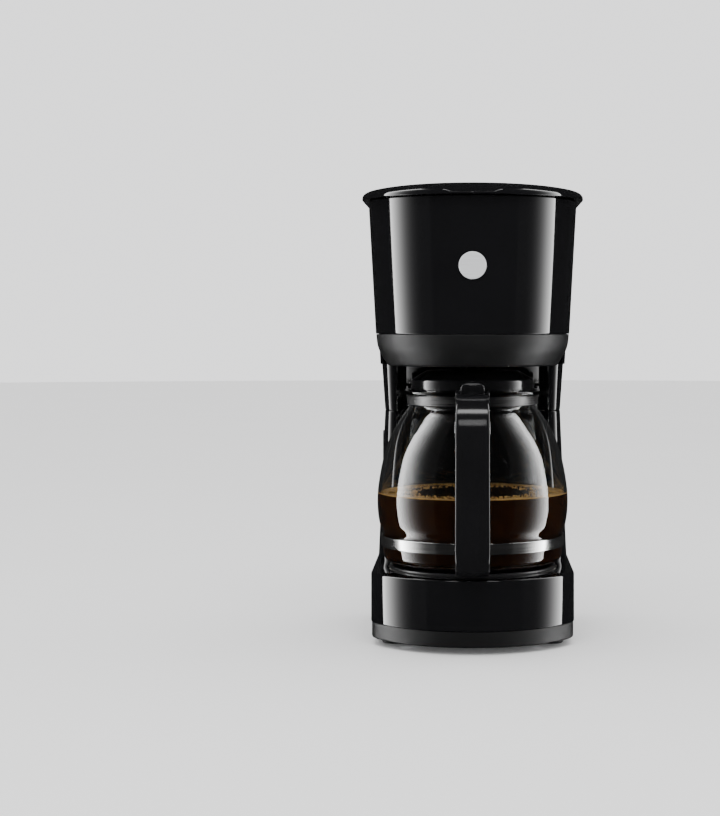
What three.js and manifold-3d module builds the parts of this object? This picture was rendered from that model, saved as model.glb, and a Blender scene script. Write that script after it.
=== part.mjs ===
// A drip coffee maker with a glass carafe, built from its separate parts, in millimetres.
// +Z is up and the front faces -Y. The origin is on the table, under the middle of the machine.
// Inside the groups below, x = y = 0 is the upright axis that the carafe, filter basket and hot plate share.
import * as THREE from "three";
import { mergeVertices } from "three/addons/utils/BufferGeometryUtils.js";
import Module from "manifold-3d";

const wasm = await Module();
wasm.setup();

// ---- Driving sizes -------------------------------------------------------------------------------------

const AXIS_Y = 2.5; // from the middle of the machine's depth to the carafe's axis
const FIT = 0.3; // gap between two parts that touch
const WALL = 2.4; // moulded plastic wall
const BACK = 108; // rear face, measured from the axis
const REAR_CORNER = 22;

const TABLE_GAP = 5; // height of the bottom cover over the table
const SKIRT_TOP = 16.5;
const DECK = 51.5; // top of the base
const WAIST = 162.6; // seam between the two housings
const HEAD_BOTTOM = 198;
const BAND_TOP = 221;
const HEAD_TOP = 317;
const LID_TOP = 328.4;

const BASE = { halfWidth: 72.5, topHalfWidth: 71.9, frontRadius: 82, frontY: -78, corner: 24 };
const WAIST_HALF_WIDTH = 66.8;
const HEAD_BOTTOM_HALF_WIDTH = 69.3;
const HEAD_TOP_HALF_WIDTH = 75.9;
const RIM_HALF_WIDTH = 80.5;

const BAY_RADIUS = 74; // hollow front of the column, around the carafe
const BAY_HALF_WIDTH = 51.8;
const CHEEK_RIDGE = { x: 58.4, y: 45 }; // foremost edge of the column's cheeks
const BACK_OPENING = 46; // half width of the opening that the rear cover closes

const PLATE_RADIUS = 60.5;
const PLATE_TOP = 53.4;

const NECK_RADIUS = 46;
const GLASS_WALL = 2.2;
const GLASS_BOTTOM = 54;
const LIP = { radius: 55.6, bottom: 177.4, top: 180.2 };
const COLLAR = { inner: 46.4, outer: 47.8, bottom: 169.6, top: 176.4 };
const STRAP = { inner: 65.9, outer: 66.8, bottom: 67.6, top: 75.4 };
const HANDLE = { width: 23.5, frontY: -115, top: 180.4, bottom: 57 };
const CARAFE_HINGE = { y: -60, z: 176.6 };
const LEVER = { halfWidth: 9, bottom: 172.9, top: 187.4, thickness: 3.4, back: -60.6 };

const LID_HINGE = { y: 99, z: 320.6 };
const LID = { shoulder: 321.6, domeSpan: 30, domeLevels: 4, hingeGap: 4.5, scoopRadius: 58, scoopDepth: 2.6 };

// ---- Solids --------------------------------------------------------------------------------------------

/** A closed geometry as a solid that can be cut and joined. */
function toSolid(geometry) {
  const bare = geometry.index ? geometry.toNonIndexed() : geometry.clone();
  bare.deleteAttribute("normal");
  bare.deleteAttribute("uv");
  const merged = mergeVertices(bare, 1e-4);
  const vertProperties = merged.attributes.position.array;
  const triVerts = new Uint32Array(merged.index.array);
  return new wasm.Manifold(new wasm.Mesh({ numProp: 3, vertProperties, triVerts }));
}

/** A solid as a geometry again. */
function toGeometry(solid) {
  const { vertProperties, triVerts } = solid.getMesh();
  const geometry = new THREE.BufferGeometry();
  geometry.setAttribute("position", new THREE.BufferAttribute(new Float32Array(vertProperties), 3));
  geometry.setIndex(new THREE.BufferAttribute(new Uint32Array(triVerts), 1));
  geometry.computeVertexNormals();
  return geometry;
}

function cut(body, ...tools) {
  return toGeometry(tools.reduce((left, tool) => left.subtract(toSolid(tool)), toSolid(body)));
}

function join(first, ...others) {
  return toGeometry(others.reduce((whole, piece) => whole.add(toSolid(piece)), toSolid(first)));
}

function common(first, second) {
  return toGeometry(toSolid(first).intersect(toSolid(second)));
}

/** An upright prism over a flat outline. */
function prism(shape, bottom, top, { steps = 1, curveSegments = 8 } = {}) {
  const options = { depth: top - bottom, steps, curveSegments, bevelEnabled: false };
  return new THREE.ExtrudeGeometry(shape, options).translate(0, 0, bottom);
}

/** A bar along X whose section is drawn in Y and Z. */
function barAlongX(shape, halfWidth, bevel = 0, curveSegments = 6) {
  const options = {
    depth: 2 * (halfWidth - bevel),
    curveSegments,
    bevelEnabled: bevel > 0,
    bevelSize: bevel,
    bevelThickness: bevel,
    bevelOffset: -bevel,
    bevelSegments: 1,
  };
  const toSide = new THREE.Matrix4().makeBasis(
    new THREE.Vector3(0, 1, 0),
    new THREE.Vector3(0, 0, 1),
    new THREE.Vector3(1, 0, 0),
  );
  return new THREE.ExtrudeGeometry(shape, options).translate(0, 0, bevel - halfWidth).applyMatrix4(toSide);
}

/** A body of revolution about Z; the profile is a list of [radius, height] that runs up its outer side. */
function revolve(profile, segments = 30) {
  const points = profile.map(([radius, height]) => new THREE.Vector2(radius, height));
  return new THREE.LatheGeometry(points, segments).rotateX(Math.PI / 2);
}

/** A flat ring, or a tube, with a rectangular section. */
function ring(inner, outer, bottom, top, segments = 30) {
  const profile = [
    [inner, bottom],
    [outer, bottom],
    [outer, top],
    [inner, top],
    [inner, bottom],
  ];
  return revolve(profile, segments);
}

function disc(radius, bottom, top, segments = 30) {
  const profile = [
    [0, bottom],
    [radius, bottom],
    [radius, top],
    [0, top],
  ];
  return revolve(profile, segments);
}

function box(minimum, maximum) {
  const size = maximum.map((value, i) => value - minimum[i]);
  const middle = maximum.map((value, i) => (value + minimum[i]) / 2);
  return new THREE.BoxGeometry(...size).translate(...middle);
}

/** A round bar between two points. */
function rod(from, to, radius, segments = 16) {
  const start = new THREE.Vector3(...from);
  const along = new THREE.Vector3(...to).sub(start);
  const direction = along.clone().normalize();
  const turn = new THREE.Quaternion().setFromUnitVectors(new THREE.Vector3(0, 1, 0), direction);
  return new THREE.CylinderGeometry(radius, radius, along.length(), segments)
    .translate(0, along.length() / 2, 0)
    .applyQuaternion(turn)
    .translate(...from);
}

/** A section carried along a curve. */
function sweep(section, curve, steps, curveSegments = 3) {
  const options = { steps, curveSegments, bevelEnabled: false, extrudePath: curve };
  return new THREE.ExtrudeGeometry(section, options);
}

function circleShape(radius) {
  return new THREE.Shape().absarc(0, 0, radius, 0, 2 * Math.PI, false);
}

function smoothCurve(points) {
  return new THREE.CatmullRomCurve3(points.map((point) => new THREE.Vector3(...point)), false, "centripetal");
}

/** Moves every vertex of a geometry to where place(x, y, z) says. */
function reshape(geometry, place) {
  const positions = geometry.attributes.position;
  for (let i = 0; i < positions.count; i += 1) {
    positions.setXYZ(i, ...place(positions.getX(i), positions.getY(i), positions.getZ(i)));
  }
  return geometry;
}

// ---- Outlines of the machine ---------------------------------------------------------------------------

/**
 * A plan outline with a round front, straight sides and round rear corners. The front is an arc of
 * frontRadius whose foremost point is at frontY, and a corner arc leads from it into each side.
 */
function planOutline({ halfWidth, frontRadius, frontY, corner, back = BACK, rearCorner = REAR_CORNER }) {
  const centreY = frontY + frontRadius;
  const reach = frontRadius - corner;
  const cornerX = halfWidth - corner;
  const cornerY = centreY - Math.sqrt(reach ** 2 - cornerX ** 2);
  const bend = Math.atan2(cornerY - centreY, cornerX);
  const shape = new THREE.Shape();
  shape.moveTo(halfWidth, Math.max(cornerY, 0) + 1);
  shape.lineTo(halfWidth, back - rearCorner);
  shape.absarc(halfWidth - rearCorner, back - rearCorner, rearCorner, 0, Math.PI / 2, false);
  shape.absarc(rearCorner - halfWidth, back - rearCorner, rearCorner, Math.PI / 2, Math.PI, false);
  if (corner > 0) {
    shape.absarc(-cornerX, cornerY, corner, Math.PI, Math.PI - bend, false);
  }
  shape.absarc(0, centreY, frontRadius, Math.PI - bend, 2 * Math.PI + bend, false);
  if (corner > 0) {
    shape.absarc(cornerX, cornerY, corner, bend, 0, false);
  }
  return shape;
}

/** The base's plan, drawn in by an inset. */
function basePlan(inset = 0) {
  return planOutline({
    halfWidth: BASE.halfWidth - inset,
    frontRadius: BASE.frontRadius - inset,
    frontY: BASE.frontY + inset,
    corner: BASE.corner - inset,
    back: BACK - inset,
    rearCorner: REAR_CORNER - inset,
  });
}

/** A plan whose front is a half circle about the axis. */
function roundPlan(halfWidth, back = BACK, rearCorner = REAR_CORNER) {
  return planOutline({ halfWidth, frontRadius: halfWidth, frontY: -halfWidth, corner: 0, back, rearCorner });
}

/** The column's plan: a hollow round front between two cheeks, flat sides and a flat back. */
function columnPlan(inset = 0) {
  const side = BASE.halfWidth - inset;
  const radius = BAY_RADIUS + inset;
  const bayX = BAY_HALF_WIDTH - inset / 2;
  const bayY = Math.sqrt(radius ** 2 - bayX ** 2);
  const ridgeX = CHEEK_RIDGE.x;
  const ridgeY = CHEEK_RIDGE.y + inset;
  const rear = REAR_CORNER - inset;
  const shape = new THREE.Shape();
  shape.moveTo(bayX, bayY);
  shape.lineTo(ridgeX - 1, ridgeY);
  shape.lineTo(ridgeX + 1, ridgeY);
  shape.quadraticCurveTo(side, ridgeY + 3, side, ridgeY + 18);
  shape.lineTo(side, BACK - inset - rear);
  shape.absarc(side - rear, BACK - inset - rear, rear, 0, Math.PI / 2, false);
  shape.absarc(rear - side, BACK - inset - rear, rear, Math.PI / 2, Math.PI, false);
  shape.lineTo(-side, ridgeY + 18);
  shape.quadraticCurveTo(-side, ridgeY + 3, -ridgeX - 1, ridgeY);
  shape.lineTo(-ridgeX + 1, ridgeY);
  shape.lineTo(-bayX, bayY);
  const start = Math.PI - Math.atan2(bayY, bayX);
  shape.absarc(0, 0, radius, start, Math.PI - start, true);
  return shape;
}

/** Half the machine's width at a height: it narrows from the base to the waist and widens to the lid. */
function halfWidthAt(z) {
  const { lerp, clamp } = THREE.MathUtils;
  if (z < WAIST) {
    return lerp(BASE.topHalfWidth, WAIST_HALF_WIDTH, clamp((z - DECK) / (WAIST - DECK), 0, 1));
  }
  if (z < HEAD_BOTTOM) {
    return lerp(WAIST_HALF_WIDTH, HEAD_BOTTOM_HALF_WIDTH, (z - WAIST) / (HEAD_BOTTOM - WAIST));
  }
  return lerp(HEAD_BOTTOM_HALF_WIDTH, HEAD_TOP_HALF_WIDTH, (z - HEAD_BOTTOM) / (HEAD_TOP - HEAD_BOTTOM));
}

/** Draws the column's cheeks in or out so that its sides follow halfWidthAt. */
function flareColumn(geometry) {
  return reshape(geometry, (x, y, z) => {
    const beyond = Math.abs(x) - CHEEK_RIDGE.x;
    if (beyond <= 0) {
      return [x, y, z];
    }
    const share = (halfWidthAt(z) - CHEEK_RIDGE.x) / (BASE.halfWidth - CHEEK_RIDGE.x);
    return [Math.sign(x) * (CHEEK_RIDGE.x + beyond * share), y, z];
  });
}

/** Scales the head's plan with height: its front grows towards the lid and its back stays flat. */
function flareHead(geometry) {
  return reshape(geometry, (x, y, z) => {
    const scale = halfWidthAt(z) / HEAD_TOP_HALF_WIDTH;
    return [x * scale, y < 0 ? y * scale : y, z];
  });
}

// ---- Parts and groups ----------------------------------------------------------------------------------

const machine = new THREE.Group();
machine.position.y = AXIS_Y;
const carafe = new THREE.Group();
const basket = new THREE.Group();
machine.add(carafe, basket);

/** Makes a named part with its own finish and adds it to a group. */
function part(group, name, geometry, finish, { position = [0, 0, 0], rotation = [0, 0, 0] } = {}) {
  const mesh = new THREE.Mesh(geometry, new THREE.MeshStandardMaterial(finish));
  mesh.name = name;
  mesh.position.set(...position);
  mesh.rotation.set(...rotation);
  group.add(mesh);
}

const GLOSS_BLACK = { color: 0x0b0b0c, roughness: 0.08, metalness: 0 };
const MATTE_BLACK = { color: 0x242527, roughness: 0.55, metalness: 0 };
const SATIN_BLACK = { color: 0x131314, roughness: 0.35, metalness: 0 };
const STEEL = { color: 0xb9babb, roughness: 0.25, metalness: 1 };
const SILVER = { color: 0xd4d5d6, roughness: 0.3, metalness: 0.9 };
const ALUMINIUM = { color: 0xa7a9ab, roughness: 0.4, metalness: 1 };
const RUBBER = { color: 0x2b2b2c, roughness: 0.9, metalness: 0 };
const SILICONE = { color: 0xd8d5cf, roughness: 0.6, metalness: 0 };
const CLEAR = { color: 0xf2f6f6, roughness: 0.03, metalness: 0 };
const SMOKED = { color: 0x5c6064, roughness: 0.15, metalness: 0 };
const PLATE_COATING = { color: 0x1a1a1b, roughness: 0.45, metalness: 0.2 };

// ---- Base ----------------------------------------------------------------------------------------------

const FEET = [
  [-57, -24],
  [57, -24],
  [-52, 88],
  [52, 88],
];
const COVER_SCREWS = [
  [-46, -46],
  [46, -46],
  [-66.4, 66],
  [66.4, 66],
];
const CLAMP = { halfLength: 20, front: -58, back: -26, bottom: 31.5, top: 33.6, screwX: 15, screwY: -52 };
const FUSE = { x: 40, z: 31.4, halfLength: 9, radius: 2.4 };
const COVER_FLOOR = 7.5;
const SKIRT_INSET = 0.6;
const FOOT_STEM = 3;
const SCREW = { shank: 1.4, head: 3.2 };

function bottomCover() {
  const skirtTop = SKIRT_TOP - FIT;
  const skirt = prism(basePlan(SKIRT_INSET), TABLE_GAP, skirtTop);
  const tray = cut(skirt, prism(basePlan(SKIRT_INSET + WALL), COVER_FLOOR, skirtTop + 1));
  const footHoles = FEET.map(([x, y]) => rod([x, y, 0], [x, y, 12], FOOT_STEM + FIT));
  const screwHoles = COVER_SCREWS.map(([x, y]) => rod([x, y, 0], [x, y, 12], SCREW.shank + FIT, 12));
  const vents = [-2, -1, 0, 1, 2].map((i) => box([i * 9 - 2, 20, 0], [i * 9 + 2, 52, 12]));
  return cut(tray, ...footHoles, ...screwHoles, ...vents);
}

function foot() {
  const profile = [
    [0, 0],
    [7.2, 0],
    [8, 1],
    [8, TABLE_GAP - FIT],
    [FOOT_STEM, TABLE_GAP - FIT],
    [FOOT_STEM, 9],
    [0, 9],
  ];
  return revolve(profile, 16);
}

/** A screw that points up from z = 0, with its head below. */
function screw(length) {
  const profile = [
    [0, -1.6],
    [SCREW.head * 0.7, -1.6],
    [SCREW.head, -0.6],
    [SCREW.head, 0],
    [SCREW.shank, 0],
    [SCREW.shank, length - 1],
    [0, length],
  ];
  const slot = box([-SCREW.head, -0.4, -3], [SCREW.head, 0.4, -1]);
  return cut(revolve(profile, 10), slot);
}

function rearOpening(bottom, top) {
  return box([-BACK_OPENING - FIT, BACK - WALL - FIT, bottom], [BACK_OPENING + FIT, BACK + 1, top]);
}

/** Rails inside the back, which the rear cover's screws bite into. */
function rearRails(bottom, top) {
  return [-1, 1].map((side) => {
    const edges = [side * 37.5, side * 49].sort((a, b) => a - b);
    return box([edges[0], BACK - 7, bottom], [edges[1], BACK - 1, top]);
  });
}

function rearScrewHoles() {
  return REAR_SCREWS.map(([x, z]) => rod([x, BACK - 8, z], [x, BACK + 1, z], SCREW.shank + FIT, 12));
}

const REAR_SCREWS = [
  [-42, 36],
  [42, 36],
  [-42, 296],
  [42, 296],
];

const SWITCH = { y: 14, z: 34, halfLength: 10.5, halfHeight: 6.5 };
const GLAND = { x: -30, z: 34, radius: 6 };
const WINDOW = { y: 82, halfWidth: 4, bottom: 74, top: 146 };

/** An upright slot outline with round ends, for the level window. */
function windowTool(grow, fromX, toX) {
  const radius = WINDOW.halfWidth + grow;
  const shape = new THREE.Shape();
  shape.absarc(WINDOW.y, WINDOW.top - WINDOW.halfWidth, radius, 0, Math.PI, false);
  shape.absarc(WINDOW.y, WINDOW.bottom + WINDOW.halfWidth, radius, Math.PI, 2 * Math.PI, false);
  return barAlongX(shape, (toX - fromX) / 2).translate((toX + fromX) / 2, 0, 0);
}

function lowerHousing() {
  const columnTop = WAIST - FIT;
  const baseOuter = prism(basePlan(), SKIRT_TOP, DECK);
  const baseInner = prism(basePlan(WALL), SKIRT_TOP - 1, DECK - WALL);
  const columnOuter = flareColumn(prism(columnPlan(), DECK - 1, columnTop));
  const columnInner = flareColumn(prism(columnPlan(WALL), DECK - 2 * WALL, columnTop + 1));
  const shell = cut(join(baseOuter, columnOuter), baseInner, columnInner);
  const bosses = COVER_SCREWS.map(([x, y]) => rod([x, y, SKIRT_TOP], [x, y, DECK - 1], 4, 12));
  const whole = join(shell, ...bosses, ...rearRails(SKIRT_TOP + 4, columnTop));
  return cut(
    whole,
    disc(PLATE_RADIUS + 1.5, DECK - 10, DECK + 1),
    rearOpening(SKIRT_TOP + 4, columnTop + 1),
    ...COVER_SCREWS.map(([x, y]) => rod([x, y, 0], [x, y, SKIRT_TOP + 12], SCREW.shank + FIT, 12)),
    ...rearScrewHoles(),
    switchBlock(0, 60, 80),
    windowTool(0, -80, -60),
  );
}

function hotPlate() {
  const under = DECK - 3;
  const profile = [
    [0, under],
    [PLATE_RADIUS - 2, under],
    [PLATE_RADIUS, DECK],
    [PLATE_RADIUS, DECK + 1.4],
    [PLATE_RADIUS - 1.2, DECK + 2.1],
    [PLATE_RADIUS - 3.6, PLATE_TOP],
    [0, PLATE_TOP],
  ];
  return revolve(profile);
}

function hotPlateSeal() {
  return ring(PLATE_RADIUS - 1.6, PLATE_RADIUS + 1.1, DECK - 3.4, DECK - 2.4);
}

const HEATER = { radius: 38, tube: 6.5, height: 41.2, endX: 24, endY: 61 };

/** The horseshoe that boils the water: a half circle in front, and two legs that close in behind. */
function heaterTube() {
  const { radius, tube, height, endX, endY } = HEATER;
  const leg = [
    [endX, endY, height],
    [endX, endY - 8, height],
    [radius - 2, 32, height],
  ];
  const steps = 8;
  const bow = [];
  for (let i = 0; i <= steps; i += 1) {
    const angle = (-Math.PI * i) / steps;
    bow.push([radius * Math.cos(angle), radius * Math.sin(angle), height]);
  }
  const otherLeg = leg.map(([x, y, z]) => [-x, y, z]).reverse();
  return sweep(circleShape(tube), smoothCurve([...leg, ...bow, ...otherLeg]), 32);
}

function heaterClamp() {
  const { halfLength, front, back, bottom, top, screwX, screwY } = CLAMP;
  const bar = box([-halfLength, front, bottom], [halfLength, back, top]);
  const holes = [-1, 1].map((side) => {
    const x = side * screwX;
    return rod([x, screwY, bottom - 5], [x, screwY, top + 5], SCREW.shank + FIT, 12);
  });
  return cut(bar, ...holes);
}

function thermostat() {
  const body = disc(8, 22.5, 31.2, 20);
  const tabs = [-1, 1].map((side) => box([side * 5 - 2, -0.4, 17.5], [side * 5 + 2, 0.4, 23]));
  return join(body, ...tabs);
}

function thermalFuse() {
  return rod([0, -FUSE.halfLength, 0], [0, FUSE.halfLength, 0], FUSE.radius, 10);
}

/** A block through the base's side at the switch, grown by a margin around the switch opening. */
function switchBlock(margin, fromX, toX) {
  const { y, z, halfLength, halfHeight } = SWITCH;
  return box(
    [fromX, y - halfLength - margin, z - halfHeight - margin],
    [toX, y + halfLength + margin, z + halfHeight + margin],
  );
}

function switchBezel() {
  const face = BASE.halfWidth;
  const flange = switchBlock(1.5, face + FIT, face + 1.5);
  const sleeve = switchBlock(-FIT, face - 14, face + 1);
  return cut(join(flange, sleeve), switchBlock(-1.6, face - 12, face + 3));
}

/** The rocker: a bar with a dished face, drawn along Y about its pivot and tipped to its off side. */
function powerSwitch() {
  const { halfLength, halfHeight } = SWITCH;
  const half = halfLength - 2.4;
  const shape = new THREE.Shape();
  shape.moveTo(-4, -half);
  shape.lineTo(3.2, -half);
  shape.quadraticCurveTo(1.2, 0, 3.2, half);
  shape.lineTo(-4, half);
  shape.quadraticCurveTo(-6.5, 0, -4, -half);
  return prism(shape, -(halfHeight - 2.1), halfHeight - 2.1, { curveSegments: 6 });
}

function cordGland() {
  const { radius } = GLAND;
  const profile = [
    [2.8, -9],
    [radius - 1, -9],
    [radius - 1, -WALL - 0.1],
    [radius - 1, 0.2],
    [radius + 2, 0.2],
    [radius + 1.4, 2],
    [4, 2],
    [2.8, 1],
    [2.8, -9],
  ];
  return revolve(profile, 20).rotateX(-Math.PI / 2);
}

part(machine, "bottom_cover", bottomCover(), MATTE_BLACK);
FEET.forEach(([x, y], i) => part(machine, `foot_${i + 1}`, foot(), RUBBER, { position: [x, y, 0] }));
COVER_SCREWS.forEach(([x, y], i) => {
  part(machine, `cover_screw_${i + 1}`, screw(18), STEEL, { position: [x, y, TABLE_GAP - FIT] });
});
part(machine, "lower_housing", lowerHousing(), GLOSS_BLACK);
part(machine, "hot_plate", hotPlate(), PLATE_COATING);
part(machine, "hot_plate_seal", hotPlateSeal(), SILICONE);
part(machine, "heater_tube", heaterTube(), ALUMINIUM);
part(machine, "heater_clamp", heaterClamp(), STEEL);
[-1, 1].forEach((side, i) => {
  const position = [side * CLAMP.screwX, CLAMP.screwY, CLAMP.bottom - FIT];
  part(machine, `clamp_screw_${i + 1}`, screw(15), STEEL, { position });
});
part(machine, "thermostat", thermostat(), STEEL, { position: [0, -40, 0] });
[-1, 1].forEach((side, i) => {
  const finish = { color: 0xe9e6dc, roughness: 0.7, metalness: 0 };
  part(machine, `thermal_fuse_${i + 1}`, thermalFuse(), finish, { position: [side * FUSE.x, 0, FUSE.z] });
});
part(machine, "switch_bezel", switchBezel(), SATIN_BLACK);
part(machine, "power_switch", powerSwitch(), SATIN_BLACK, {
  position: [BASE.halfWidth - 2, SWITCH.y, SWITCH.z],
  rotation: [0, 0, THREE.MathUtils.degToRad(-6)],
});

// ---- Column and water way ------------------------------------------------------------------------------

const COVER_BOTTOM = SKIRT_TOP + 4 + FIT;
const COVER_TOP = 308;

function rearCover() {
  const panel = box([-BACK_OPENING, BACK - WALL, COVER_BOTTOM], [BACK_OPENING, BACK, COVER_TOP]);
  const cordHole = rod([GLAND.x, BACK - 5, GLAND.z], [GLAND.x, BACK + 1, GLAND.z], GLAND.radius - 1 + FIT);
  return cut(panel, ...rearScrewHoles(), cordHole);
}

const TANK = { bottom: 60, step: 223, top: 300, halfWidth: 60, innerRight: 44, back: BACK - 7.6 };
const TANK_FRONT = { lower: 77, upper: 65 }; // radii of the tank's hollow front, below and above its step
const OUTLET = { x: -22, y: 88, radius: 5 };
const RISER_X = 52;

/** The tank's plan: a hollow round front, with a shaft left free on the right for the riser. */
function tankPlan(frontRadius, inset) {
  const radius = frontRadius + inset;
  const left = TANK.halfWidth - inset;
  const right = TANK.innerRight - inset;
  const back = TANK.back - inset;
  const shape = new THREE.Shape();
  shape.moveTo(right, back);
  shape.lineTo(-left + 18, back);
  shape.quadraticCurveTo(-left, back, -left, back - 18);
  const start = Math.PI - Math.acos(left / radius);
  shape.absarc(0, 0, radius, start, Math.acos(right / radius), true);
  return shape;
}

function waterTank() {
  const { bottom, step, top } = TANK;
  const outer = join(
    prism(tankPlan(TANK_FRONT.lower, 0), bottom, step + 1),
    prism(tankPlan(TANK_FRONT.upper, 0), step, top),
  );
  const lowerRoom = prism(tankPlan(TANK_FRONT.lower, WALL), bottom + WALL, top + 1);
  const upperRoom = prism(tankPlan(TANK_FRONT.upper, WALL), step + WALL, top + 2);
  const nipple = rod([OUTLET.x, OUTLET.y, bottom - 10], [OUTLET.x, OUTLET.y, bottom + 1], OUTLET.radius);
  const bore = rod([OUTLET.x, OUTLET.y, bottom - 12], [OUTLET.x, OUTLET.y, bottom + 5], OUTLET.radius - 2);
  return cut(join(cut(outer, lowerRoom, upperRoom), nipple), bore);
}

function checkValve() {
  const profile = [
    [1.6, TANK.bottom - 24],
    [4, TANK.bottom - 24],
    [4, TANK.bottom - 20],
    [6, TANK.bottom - 18],
    [6, TANK.bottom - 10 - FIT],
    [2.6, TANK.bottom - 10 - FIT],
    [1.6, TANK.bottom - 16],
    [1.6, TANK.bottom - 24],
  ];
  return revolve(profile, 20);
}

function inletHose() {
  const top = TANK.bottom - 24 - FIT;
  const route = [
    [OUTLET.x, OUTLET.y, top],
    [OUTLET.x, OUTLET.y, top - 6],
    [OUTLET.x - 1, OUTLET.y - 6, top - 14],
    [-HEATER.endX, OUTLET.y - 14, HEATER.height - 14],
  ];
  return sweep(circleShape(4), smoothCurve(route), 12);
}

function riserTube() {
  const route = [
    [HEATER.endX, HEATER.endY + 1.5, HEATER.height],
    [HEATER.endX, HEATER.endY + 6, HEATER.height],
    [HEATER.endX + 8, HEATER.endY + 17, HEATER.height],
    [RISER_X - 3, 86, HEATER.height + 12],
    [RISER_X, 88, 80],
    [RISER_X, 88, 180],
    [RISER_X, 88, 290],
    [RISER_X, 87, 300],
    [RISER_X - 7, 84, 309],
    [RISER_X - 20, 80, 311],
    [19.6, 79, 311],
  ];
  return sweep(circleShape(4), smoothCurve(route), 34);
}

/** The outlet over the basket: a flat channel that ends in a nozzle turned down. */
function spout() {
  const channel = box([-9, 44, 312.6], [9, 84, 316.4]);
  const tail = box([9, 74, 312.6], [19, 84, 316]);
  const nozzle = rod([0, 49, 308.5], [0, 49, 314], 4);
  const mouth = rod([0, 49, 300], [0, 49, 314.4], 2.4);
  return cut(join(channel, tail, nozzle), mouth);
}

function levelWindow() {
  const face = halfWidthAt(110);
  return windowTool(-FIT, -face - 0.2, -face + 2.4);
}

part(machine, "rear_cover", rearCover(), MATTE_BLACK);
REAR_SCREWS.forEach(([x, z], i) => {
  const placing = { position: [x, BACK + FIT, z], rotation: [Math.PI / 2, 0, 0] };
  part(machine, `rear_screw_${i + 1}`, screw(6), STEEL, placing);
});
part(machine, "cord_gland", cordGland(), RUBBER, { position: [GLAND.x, BACK, GLAND.z] });
part(machine, "water_tank", waterTank(), SMOKED);
part(machine, "tank_seal", ring(OUTLET.radius + FIT, 7.6, TANK.bottom - 5, TANK.bottom - 3, 20), SILICONE, {
  position: [OUTLET.x, OUTLET.y, 0],
});
part(machine, "check_valve", checkValve(), SILICONE, { position: [OUTLET.x, OUTLET.y, 0] });
part(machine, "inlet_hose", inletHose(), SILICONE);
part(machine, "riser_tube", riserTube(), SILICONE);
part(machine, "spout", spout(), SATIN_BLACK);
part(machine, "level_window", levelWindow(), SMOKED);

// ---- Head ----------------------------------------------------------------------------------------------

const BAND_BACK = 38; // where the band's sides end, in front of the cheeks
const RECESS = { radius: 50, top: 206 }; // pocket under the head, which the carafe lid opens into
const OUTLET_HOLE = 15;
const BADGE = { z: 268.6, radius: 9.6, thickness: 1.4, tilt: 0.055 };
const WELL = { inner: 61, outer: 63.2, top: 304 }; // round wall that the basket hangs in

/** The band's plan: the head's round front, closed behind by the bay's hollow wall. */
function bandPlan(halfWidth, inset) {
  const radius = BAY_RADIUS - FIT - inset;
  const bayX = BAY_HALF_WIDTH - inset / 2;
  const bayY = Math.sqrt(radius ** 2 - bayX ** 2);
  const shape = new THREE.Shape();
  shape.moveTo(halfWidth, 0);
  shape.lineTo(halfWidth, BAND_BACK - inset);
  shape.lineTo(bayX + 0.5, BAND_BACK + 4 - inset);
  shape.absarc(0, 0, radius, Math.atan2(bayY, bayX), Math.PI - Math.atan2(bayY, bayX), false);
  shape.lineTo(-bayX - 0.5, BAND_BACK + 4 - inset);
  shape.lineTo(-halfWidth, BAND_BACK - inset);
  shape.absarc(0, 0, halfWidth, Math.PI, 2 * Math.PI, false);
  return shape;
}

/** A matte tray under the head: chamfered below, and stepped up over the carafe lid. */
function headBand() {
  const top = BAND_TOP - FIT;
  const chamferTop = 210.6;
  const blank = prism(bandPlan(HEAD_TOP_HALF_WIDTH, 0), HEAD_BOTTOM, top, { steps: 2 });
  const outer = reshape(blank, (x, y, z) => {
    const level = z > HEAD_BOTTOM + 1 && z < top - 1 ? chamferTop : z;
    const half = level === HEAD_BOTTOM ? 62 : halfWidthAt(level);
    const scale = half / HEAD_TOP_HALF_WIDTH;
    return [Math.abs(x) > BAY_HALF_WIDTH || y < BAND_BACK ? x * scale : x, y < 0 ? y * scale : y, level];
  });
  const floor = 2.2;
  const inner = prism(bandPlan(HEAD_BOTTOM_HALF_WIDTH - WALL, WALL), chamferTop, top + 1);
  const pocket = disc(RECESS.radius, HEAD_BOTTOM - 1, RECESS.top);
  const tray = cut(outer, inner, disc(57, HEAD_BOTTOM + floor, BAND_TOP));
  const step = cut(disc(RECESS.radius + floor, HEAD_BOTTOM, RECESS.top + floor), pocket);
  const open = cut(tray, pocket);
  return cut(join(open, step), disc(OUTLET_HOLE, HEAD_BOTTOM - 5, BAND_TOP));
}

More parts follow.
